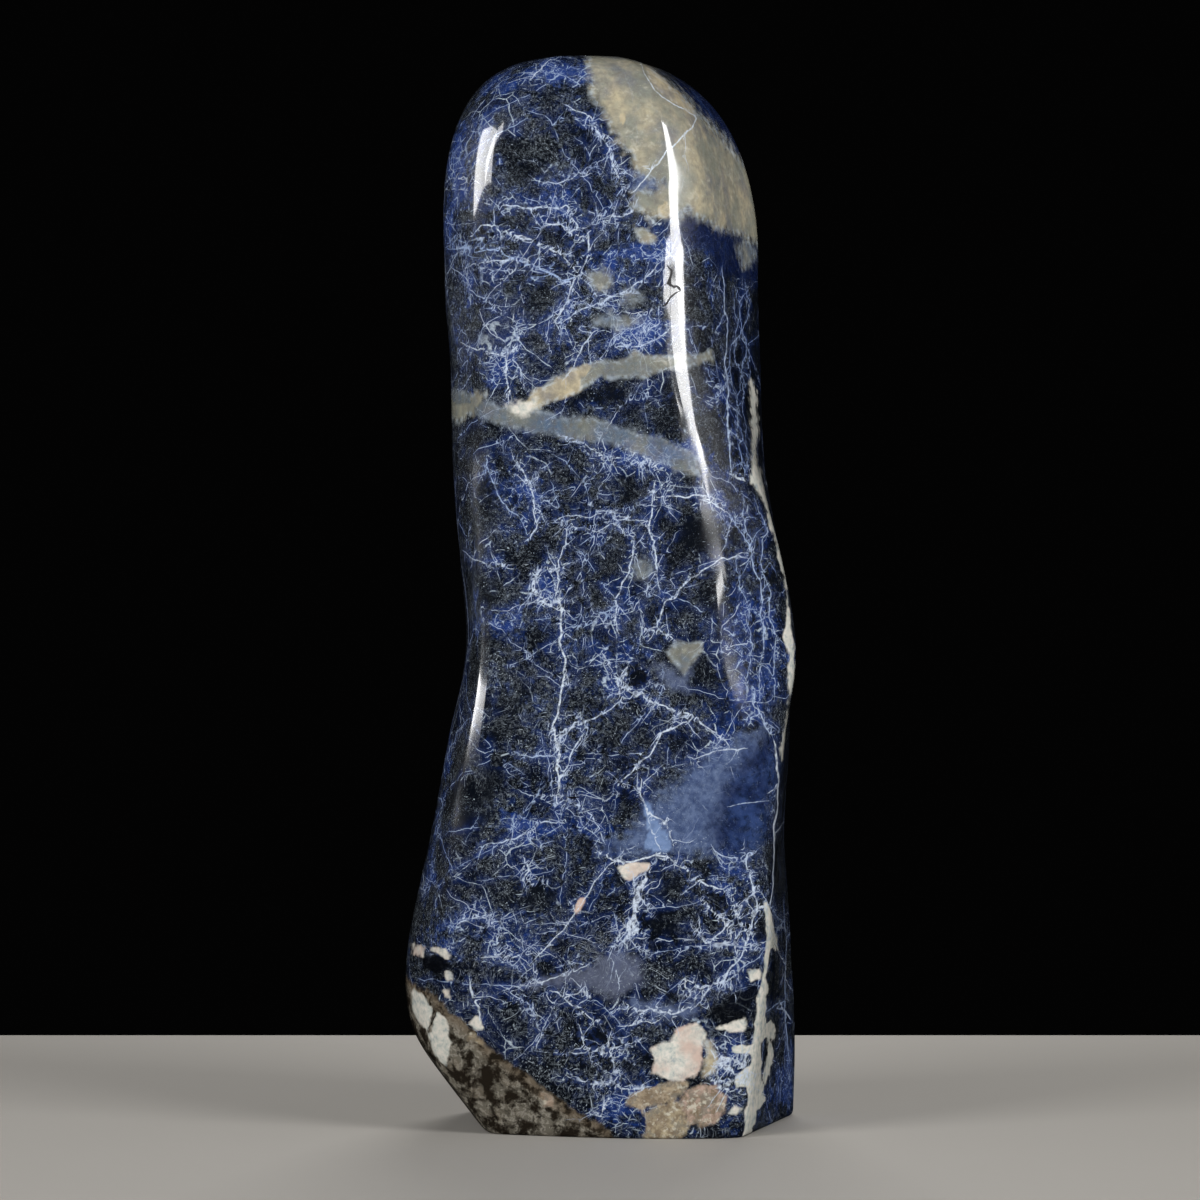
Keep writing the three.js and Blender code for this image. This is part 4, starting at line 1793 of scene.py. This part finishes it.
class StonePaint:
    """The stone's colour, laid coat over coat in one graph. Places are in mm."""

    NETS = (
        (14.0, 0.28, 0.42, 0.1),
        (7.0, 0.24, 0.34, 0.25),
        (3.6, 0.2, 0.24, 0.35),
        (1.9, 0.16, 0.12, 0.3),
    )
    FELT_TURNS = ((0.05, 0.3, 0.05), (-0.05, 1.2, 0.05), (0.1, -0.4, -0.05))

    def __init__(self, graph: Graph, effects: Effects, colours: Palette) -> None:
        """Works out what the coats share, and lays them in turn.

        Args:
            graph: the graph to paint in.
            effects: the shared node groups.
            colours: the stone's colours.
        """
        self.graph = graph
        self.effects = effects
        self.colours = colours
        self.place = graph.vector("SCALE", graph.add("TexCoord").outputs["Object"], scale=1.0 / MM)
        self.drift = graph.use(effects.wander, Place=self.place, Scale=0.02, Reach=28.0)[0]
        self.bent = graph.use(effects.wander, Place=self.place, Scale=0.11, Reach=4.0)[0]
        self.fine = graph.use(effects.wander, Place=self.bent, Scale=2.0, Reach=0.25)[0]
        self.slow = graph.noise(self.place, 0.09, 4.0, 0.6)
        self.mottle = graph.noise(self.fine, 0.45, 4.0, 0.65)
        self.fibre, self.blue, self.dark = graph.field("clouds")
        self.vein_tint, self.hair_tint, self.dull = graph.field("tints")
        self.cloud = self._cloud()
        self.felt = self._felt()
        self.vein = self._line("veins", 1.1, 0.35, 0.13, 1.7)
        self.crack = graph.use(effects.line, Field=graph.stored("cracks"), Soft=0.1)["Line"]
        self.colour: Any = colours.ink
        self._paint()

    def _paint(self) -> None:
        """Lays every coat, from the ground up."""
        self._ground()
        self._felted()
        self._net()
        self._hairs()
        self._glow()
        self._mist()
        self._royal()
        self._gloom()
        self._feldspar()
        self._matrix()
        self._tan()
        self._white()
        self._veins()
        self.lay(self.crack, self.colours.crack)

    def lay(self, share: Any, over: Any) -> None:
        """Lays a coat over what is painted so far."""
        self.colour = self.graph.mix(share, self.colour, over)

    def _cloud(self) -> Socket:
        """Works out how blue each place is.

        Returns:
            The blueness, 0 to 1.
        """
        graph = self.graph
        wide = graph.noise(self.bent, 0.05, 5.0, 0.66)
        narrow = graph.noise(self.bent, 0.38, 3.0, 0.6)
        total = graph.plus(wide, graph.times(graph.centred(narrow), 0.45))
        total = graph.scaled(self.blue, 0.2, total)
        return graph.step(graph.scaled(self.dark, -0.1, total), 0.48, 0.8)

    def _felt(self) -> Socket:
        """Makes short pale needles in three directions and specks between them, in some parts more.

        Returns:
            How pale each place is, 0 to 1.
        """
        graph, needles, place = self.graph, self.effects.needles, self.place
        lie = graph.vector("SUBTRACT", graph.noises(self.drift, 0.03), (0.5, 0.5, 0.5))
        lie = graph.vector("MULTIPLY", lie, (0.5, 5.0, 0.5))
        much = graph.noise(self.drift, 0.1, 4.0, 0.65)
        share = graph.scaled(self.fibre, 0.25, graph.step(much, 0.36, 0.62, 0.2, 0.76))
        share = graph.largest(graph.scaled(self.dark, -0.4, share), 0.04)
        turns = [graph.vector("ADD", lie, turn) for turn in self.FELT_TURNS]
        masks = [graph.use(needles, Place=place, Turn=turn, Share=share)[0] for turn in turns]
        specks = graph.use(needles, Place=place, Fineness=(1.3, 1.3, 1.3), Share=graph.times(share, 0.5))[0]
        dusting = graph.step(graph.noise(place, 0.9, 4.0, 0.8), 0.48, 0.78, 0.0, 0.6)
        needled = graph.times(graph.largest(*masks), 0.7)
        return graph.largest(needled, graph.times(specks, 0.8), graph.times(dusting, share))

    def _line(self, name: str, scale: float, reach: float, soft: float, glow: float) -> Outputs:
        """Reads one kind of stored line.

        Args:
            name: the field's name.
            scale: how many times a mm the noise goes that the line wobbles by.
            reach: how far it wobbles, in mm.
            soft: how wide its edge is.
            glow: how far its halo reaches.

        Returns:
            Its line and its halo.
        """
        graph = self.graph
        wobble = graph.times(graph.centred(graph.noise(self.place, scale)), reach)
        return graph.use(self.effects.line, Field=graph.stored(name), Wobble=wobble, Soft=soft, Glow=glow)

    def _patch(self, name: str, ragged: float) -> tuple[Socket, Socket, Socket]:
        """Reads one kind of patch.

        Args:
            name: the field's name.
            ragged: how ragged its edge is.

        Returns:
            Its mask, tint and depth.
        """
        value, tint, depth = self.graph.field(name)
        mask = self.graph.use(self.effects.fill, Value=value, Place=self.place, Ragged=ragged)[0]
        return mask, tint, depth

    def _ground(self) -> None:
        """Lays the dark ground: near-black, brown charcoal and royal blue."""
        graph, colours = self.graph, self.colours
        tone = graph.noise(self.drift, 0.05, 3.0, 0.55)
        self.lay(graph.step(tone, 0.42, 0.62), colours.char)
        self.lay(graph.step(self.dark, 0.1, 0.9, 0.0, 0.75), colours.ink)
        self.lay(graph.step(self.cloud, 0.0, 0.5, 0.0, 0.9), colours.navy)
        self.lay(graph.step(self.cloud, 0.3, 1.0, 0.0, 0.7), colours.royal)

    def _felted(self) -> None:
        """Lays the felt: grey on the dark ground, blue in the blue clouds."""
        graph, colours = self.graph, self.colours
        warm = graph.step(graph.noise(self.drift, 0.06), 0.46, 0.64)
        pale = graph.layers(colours.haze, (warm, colours.dust), (graph.times(self.cloud, 0.7), colours.net))
        self.lay(graph.math("MINIMUM", self.felt, 1.0), pale)

    def _net(self) -> None:
        """Lays nets of hair-fine veins in four sizes.

        Each size has its cell and line width, how open it is anywhere, and how much more beside a stored
        vein. Blue clouds and fibre open it too.
        """
        graph, colours = self.graph, self.colours
        near = graph.math("POWER", self.vein["Halo"], 0.5)
        tone = graph.mix(graph.times(self.cloud, 0.6), colours.haze, colours.net)
        grain = graph.step(graph.noise(self.fine, 1.7, 2.0, 0.6), 0.36, 0.56, 0.4, 1.0)
        for cell, width, presence, by_vein in self.NETS:
            opened = graph.scaled(self.cloud, 0.38, presence)
            opened = graph.scaled(near, by_vein, opened)
            opened = graph.scaled(self.fibre, 0.15, opened)
            net = graph.use(self.effects.crackle, Place=self.fine, Cell=cell, Width=width, Presence=opened)
            self.lay(graph.times(net["Halo"], 0.2), colours.royal)
            self.lay(graph.times(net["Line"], grain, 0.95), tone)

    def _hairs(self) -> None:
        """Lays the stored hairlines, each in a faint blue glow."""
        graph, colours = self.graph, self.colours
        hair = self._line("hairs", 0.6, 0.5, 0.1, 1.2)
        broken = graph.step(graph.noise(self.place, 0.25), 0.36, 0.55)
        self.lay(graph.times(hair["Halo"], broken, 0.4), colours.royal)
        tone = graph.mix(self.hair_tint, colours.net, colours.vein_white)
        self.lay(graph.times(hair["Line"], broken, 0.8), tone)

    def _glow(self) -> None:
        """Lays the broken blue glow along the veins."""
        graph, colours = self.graph, self.colours
        halo = self.vein["Halo"]
        smoke = graph.step(graph.noise(self.fine, 0.6, 3.0, 0.6), 0.4, 0.62)
        self.lay(graph.times(halo, smoke, 0.5), colours.royal)
        self.lay(graph.times(graph.math("POWER", halo, 3.0), smoke, 0.35), colours.mist)

    def _mist(self) -> None:
        """Lays mist: pale blue at tint -1, blue-grey at 0, brownish at 1."""
        graph, colours = self.graph, self.colours
        mask, tint, _ = self._patch("mist", 0.6)
        mist = graph.layers(
            colours.clear_blue,
            (graph.step(self.mottle, 0.2, 0.75, 0.2, 0.9), colours.mist),
            (tint, colours.mist_brown),
            (graph.step(tint, -1.0, 0.0, 1.0, 0.0), colours.vein_blue),
            (graph.times(self.felt, 0.45), colours.haze),
        )
        self.lay(graph.times(mask, graph.step(self.mottle, 0.2, 0.7, 0.65, 0.85)), mist)

    def _royal(self) -> None:
        """Lays clear blue, the brighter and the more streaked with mist the higher its tint."""
        graph, colours = self.graph, self.colours
        mask, tint, _ = self._patch("royal", 0.3)
        streak = graph.times(graph.step(self.mottle, 0.42, 0.75), graph.largest(tint, 0.0))
        blue = graph.layers(
            colours.deep_blue,
            (graph.step(graph.scaled(tint, 0.6, self.slow), 0.4, 0.7), colours.clear_blue),
            (graph.step(self.mottle, 0.34, 0.56, 0.6, 0.0), colours.ink),
            (graph.largest(streak, graph.times(self.felt, 0.42)), colours.mist),
        )
        self.lay(graph.times(mask, 0.92), blue)

    def _gloom(self) -> None:
        """Lays near-black."""
        mask = self._patch("gloom", 0.6)[0]
        self.lay(self.graph.times(mask, 0.92), self.colours.gloom)

    def _feldspar(self) -> None:
        """Lays feldspar: blue-grey at tint -1, grey-green at 0, cream at 1, with stains and pale spots."""
        graph, colours, mottle = self.graph, self.colours, self.mottle
        mask, tint, depth = self._patch("pale", 0.6)
        warmth = graph.scaled(graph.centred(self.slow), 2.4, tint)
        spots = graph.step(graph.noise(self.place, 0.16, 4.0, 0.65), 0.56, 0.7)
        edge = graph.times(graph.less(graph.step(depth, 0.3, 1.8)), graph.step(mottle, 0.42, 0.6))
        pale = graph.layers(
            colours.blue_grey,
            (graph.step(warmth, -1.0, -0.1), colours.sage),
            (graph.step(warmth, 0.1, 1.1), colours.cream),
            (graph.step(graph.noise(self.place, 0.07, 5.0, 0.6), 0.48, 0.7, 0.0, 0.65), colours.mist_brown),
            (graph.step(mottle, 0.3, 0.65, 0.6, 0.0), colours.rock_grey),
            (graph.times(spots, graph.step(mottle, 0.4, 0.7, 0.2, 0.7)), colours.buff),
            (graph.times(self.felt, 0.4), colours.buff),
            (graph.times(edge, 0.6), colours.haze),
        )
        body = graph.step(self.slow, 0.3, 0.7, 0.85, 1.0)
        self.lay(graph.times(mask, graph.times(graph.step(tint, -0.8, 0.4, 0.6, 0.97), body)), pale)

    def _matrix(self) -> None:
        """Lays mother rock: dark blotches among grey and pale ones, a faint tan rim, brown at tint 1."""
        graph, colours = self.graph, self.colours
        mask, tint, depth = self._patch("matrix", 0.6)
        grain = graph.noise(self.fine, 0.2, 4.0, 0.66)
        speckle = graph.noise(self.fine, 0.6, 3.0, 0.6)
        pale = graph.times(graph.step(grain, 0.46, 0.58), graph.step(speckle, 0.47, 0.57))
        rim = graph.times(graph.less(graph.step(depth, 0.5, 5.0)), graph.step(grain, 0.38, 0.54), 0.7)
        warm = graph.step(graph.noise(self.place, 0.12), 0.5, 0.7, 0.0, 0.3)
        rock = graph.layers(
            colours.rock_dark,
            (graph.step(grain, 0.42, 0.6), colours.rock_grey),
            (graph.times(pale, 0.8), colours.rock_pale),
            (graph.step(speckle, 0.5, 0.66, 0.0, 0.5), colours.rock_dark),
            (graph.largest(rim, graph.times(warm, graph.step(grain, 0.42, 0.56))), colours.rock_tan),
            (graph.times(tint, graph.step(grain, 0.4, 0.62, 0.85, 0.5)), colours.rock_brown),
        )
        self.lay(mask, rock)

    def _tan(self) -> None:
        """Lays grains of tan rock, cream or, at a higher tint, pinkish, with grey and pale spots."""
        graph, colours = self.graph, self.colours
        mask, tint, _ = self._patch("tan", 0.9)
        bright = graph.mix(tint, colours.cream, colours.blush)
        grains = graph.layers(
            colours.rock_tan,
            (graph.step(self.mottle, 0.36, 0.7, 0.0, 0.8), bright),
            (graph.step(graph.noise(self.place, 0.3, 4.0, 0.65), 0.5, 0.6, 0.0, 0.7), colours.rock_grey),
            (graph.step(graph.noise(self.place, 0.42, 4.0, 0.65), 0.52, 0.66, 0.0, 0.8), colours.buff),
        )
        self.lay(graph.times(mask, 0.94), grains)

    def _white(self) -> None:
        """Lays white, with blue-grey shadows, and a blush at a higher tint. Along the right rim this white
        is a painted reflection.
        """
        graph, colours = self.graph, self.colours
        mask, tint, _ = self._patch("white", 0.8)
        white = graph.layers(
            colours.white_grey,
            (graph.step(self.mottle, 0.35, 0.7), colours.white),
            (graph.step(self.mottle, 0.3, 0.46, 0.45, 0.0), colours.blue_grey),
            (graph.times(tint, graph.step(self.slow, 0.35, 0.65)), colours.blush),
        )
        self.lay(mask, white)

    def _veins(self) -> None:
        """Lays the stored veins, which fade here and there."""
        graph, colours = self.graph, self.colours
        tone = graph.mix(self.vein_tint, colours.vein_blue, colours.vein_white)
        broken = graph.step(graph.noise(self.place, 0.6, 3.0, 0.6), 0.34, 0.54, 0.25, 1.0)
        grain = graph.step(graph.noise(self.place, 1.8, 2.0, 0.6), 0.34, 0.54, 0.6, 1.0)
        self.lay(graph.times(self.vein["Line"], broken, grain), tone)


@dataclass
class SodaliteFinish:
    """Polished sodalite: a sharp clear coat over a softer body. The sawn base is rough and uncoated."""

    effects: Effects
    palette: Palette = field(default_factory=Palette)
    coat_roughness: float = 0.06
    coat_dulling: float = 0.3
    coat_loss: float = 0.75
    body_roughness: float = 0.25
    body_gloss: float = 0.1
    sawn_roughness: float = 0.4
    relief: float = 0.04
    relief_depth: float = 0.0004

    def build(self) -> bpy.types.Material:
        """Builds the material. Stored dulling takes gloss from the body and the coat.

        Returns:
            The material.
        """
        material, graph = new_material("sodalite")
        paint = StonePaint(graph, self.effects, self.palette)
        height = graph.plus(graph.times(paint.felt, 0.5), graph.times(paint.crack, -6.0))
        bump = graph.add("Bump", {"Strength": self.relief, "Distance": self.relief_depth, "Height": height})
        up = graph.parts(graph.add("NewGeometry").outputs["Normal"])[2]
        sawn = graph.less(graph.step(up, -0.97, -0.85))
        glossy = graph.less(graph.math("MINIMUM", paint.dull, 1.0))
        coated = graph.less(graph.times(paint.dull, self.coat_loss))
        inputs = {
            "Base Color": paint.colour,
            "IOR": 1.48,
            "Specular IOR Level": graph.times(self.body_gloss, glossy),
            "Roughness": graph.plus(self.body_roughness, graph.times(sawn, self.sawn_roughness)),
            "Coat Weight": graph.times(graph.less(sawn), graph.less(paint.crack), coated),
            "Coat Roughness": graph.scaled(paint.dull, self.coat_dulling, self.coat_roughness),
            "Coat IOR": 1.5,
            "Normal": bump.outputs[0],
        }
        graph.surface(graph.add("BsdfPrincipled", inputs))
        return material


@dataclass(frozen=True)
class FloorFinish:
    """A plain pale matt floor."""

    colour: Colour = shade(168, 164, 158)
    roughness: float = 0.6

    def build(self) -> bpy.types.Material:
        """Builds the material.

        Returns:
            The material.
        """
        material, graph = new_material("floor")
        graph.surface(graph.add("BsdfPrincipled", {"Base Color": self.colour, "Roughness": self.roughness}))
        return material


# ---- The pieces and the studio ----


@dataclass
class Stone:
    """The freeform itself."""

    finish: SodaliteFinish
    skin: Skin = field(default_factory=Skin)
    markings: Markings = field(default_factory=Markings)

    def build(self) -> bpy.types.Object:
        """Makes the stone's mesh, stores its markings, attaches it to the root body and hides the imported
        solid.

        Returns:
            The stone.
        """
        shape = StoneMesh.build(self.skin)
        mesh = bpy.data.meshes.new("sodalite_freeform")
        mesh.from_pydata((shape.points * MM).tolist(), [], shape.faces)
        mesh.polygons.foreach_set("use_smooth", np.ones(len(mesh.polygons), bool))
        for name, values in self.markings.build(shape, self.skin.form).items():
            layer = mesh.attributes.new(name, "FLOAT_VECTOR", "POINT")
            layer.data.foreach_set("vector", values.astype(np.float32).ravel())
        mesh.materials.append(self.finish.build())
        mesh.update()
        piece = bpy.data.objects.new("sodalite_freeform", mesh)
        bpy.context.scene.collection.objects.link(piece)
        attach(piece, "root")
        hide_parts("sodalite")
        LOG.info("stone: %d points, %d faces", len(mesh.vertices), len(mesh.polygons))
        return piece


@dataclass(frozen=True)
class Card:
    """A flat card that stands round the stone and is only seen mirrored in it. Metres and degrees.

    It covers a sweep of directions, counted from the front towards the right, and a rise of heights.
    """

    name: str
    distance: float
    sweep: Pair
    rise: Pair
    radiance: float = 16.0
    roll: float = 0.0

    def build(self) -> bpy.types.Object:
        """Makes the card: its width is twice the distance times the tangent of half the sweep.

        Returns:
            The card.
        """
        middle = np.radians(0.5 * (self.sweep[0] + self.sweep[1]))
        half = np.radians(0.5 * (self.sweep[1] - self.sweep[0]))
        height = 0.5 * (self.rise[0] + self.rise[1])
        place = (self.distance * np.sin(middle), -self.distance * np.cos(middle), height)
        size = (2.0 * self.distance * np.tan(half), self.rise[1] - self.rise[0])
        power = self.radiance * np.pi * size[0] * size[1]
        light = area_light(self.name, place, (0.0, 0.0, height), size, power)
        light.rotation_euler.rotate_axis("Z", np.radians(self.roll))
        light.visible_diffuse = False
        return light


@dataclass(frozen=True)
class Key:
    """A soft light that lights the stone and isn't seen mirrored in it. Metres and watts."""

    name: str
    place: tuple[float, float, float]
    aim: tuple[float, float, float]
    size: Pair
    power: float

    def build(self) -> bpy.types.Object:
        """Makes the light.

        Returns:
            The light.
        """
        light = area_light(self.name, self.place, self.aim, self.size, self.power)
        light.visible_glossy = False
        return light


def area_light(name: str, place: tuple, aim: tuple, size: Pair, power: float) -> bpy.types.Object:
    """Makes a rectangular light.

    Args:
        name: its name.
        place: where it stands, in metres.
        aim: the point that it faces.
        size: its width and height.
        power: its power in watts.

    Returns:
        The light.
    """
    data = bpy.data.lights.new(name, "AREA")
    data.shape = "RECTANGLE"
    data.size, data.size_y = size
    data.energy = power
    light = bpy.data.objects.new(name, data)
    light.location = place
    light.rotation_euler = (Vector(aim) - Vector(place)).to_track_quat("-Z", "Y").to_euler()
    light.visible_camera = False
    bpy.context.scene.collection.objects.link(light)
    return light


@dataclass(frozen=True)
class Studio:
    """The floor, the lights and the camera."""

    finish: FloorFinish = field(default_factory=FloorFinish)
    floor_half_width: float = 1.1
    floor_near: float = -1.1
    floor_far: float = 0.31
    world: float = 0.001
    cards: tuple[Card, ...] = (
        Card("ridge", 0.319, (47.6, 77.7), (0.3055, 0.4135), roll=1.4),
        Card("ridge_end", 0.340, (58.6, 79.6), (0.3003, 0.3154), roll=14.8),
        Card("ridge_high", 0.247, (63.8, 83.9), (0.345, 0.518), roll=-25.2),
        Card("ridge_low", 0.395, (28.1, 46.9), (0.3037, 0.3362), roll=3.8),
        Card("ridge_tip", 0.290, (25.5, 48.9), (0.2014, 0.2156), roll=10.6),
        Card("ridge_glow", 0.3, (18, 60), (0.225, 0.280), radiance=7.0),
        Card("left_high", 0.3273, (-102.4, -45.8), (0.3751, 0.5231), radiance=10.5, roll=8.05),
        Card("left_high_end", 0.3891, (-75.2, -26.3), (0.483, 0.543), radiance=10.5, roll=31.1),
        Card("left_low", 0.6282, (-125.9, -50.6), (0.2208, 0.2364), radiance=14.0, roll=2.0),
    )
    keys: tuple[Key, ...] = (
        Key("key_right", (0.95, -0.85, 0.7), (0.0, 0.0, 0.18), (0.6, 0.6), 15.0),
        Key("key_left", (-0.95, -0.85, 0.7), (0.0, 0.0, 0.18), (0.6, 0.6), 13.0),
        Key("rear", (0.1, 1.3, 0.8), (0.0, 0.0, 0.2), (0.6, 0.6), 16.0),
    )

    def build(self) -> None:
        """Makes the floor, the lights, the world and the camera."""
        self._floor()
        for light in (*self.cards, *self.keys):
            light.build()
        world = bpy.data.worlds.new("studio")
        world.use_nodes = True
        background = world.node_tree.nodes["Background"].inputs
        background["Color"].default_value = (1.0, 1.0, 1.0, 1.0)
        background["Strength"].default_value = self.world
        bpy.context.scene.world = world
        self._camera()
        LOG.info("studio: floor, %d cards, %d keys, camera", len(self.cards), len(self.keys))

    def _floor(self) -> None:
        """Makes the floor."""
        side, near, far = self.floor_half_width, self.floor_near, self.floor_far
        mesh = bpy.data.meshes.new("floor")
        corners = [(-side, near, 0.0), (side, near, 0.0), (side, far, 0.0), (-side, far, 0.0)]
        mesh.from_pydata(corners, [], [(0, 1, 2, 3)])
        mesh.materials.append(self.finish.build())
        floor = bpy.data.objects.new("floor", mesh)
        floor.visible_glossy = False
        bpy.context.scene.collection.objects.link(floor)

    @staticmethod
    def _camera() -> None:
        """Sets the camera at the front viewpoint, with the lens that makes the frame 1200 units wide."""
        data = bpy.data.cameras.new("camera")
        data.sensor_width = 36.0
        data.lens = data.sensor_width * FRONT.focal / FRAME_UNITS
        camera = bpy.data.objects.new("camera", data)
        camera.location = [value * MM for value in FRONT.eye]
        camera.rotation_euler = (np.pi / 2, 0.0, 0.0)
        bpy.context.scene.collection.objects.link(camera)
        bpy.context.scene.camera = camera


def main() -> None:
    """Builds the stone and the studio."""
    logging.basicConfig(level=logging.INFO, format="%(name)s: %(message)s")
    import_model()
    effects = Effects.build()
    Stone(SodaliteFinish(effects)).build()
    Studio().build()
    bpy.context.scene.view_settings.view_transform = "Standard"


if __name__ == "__main__":
    main()
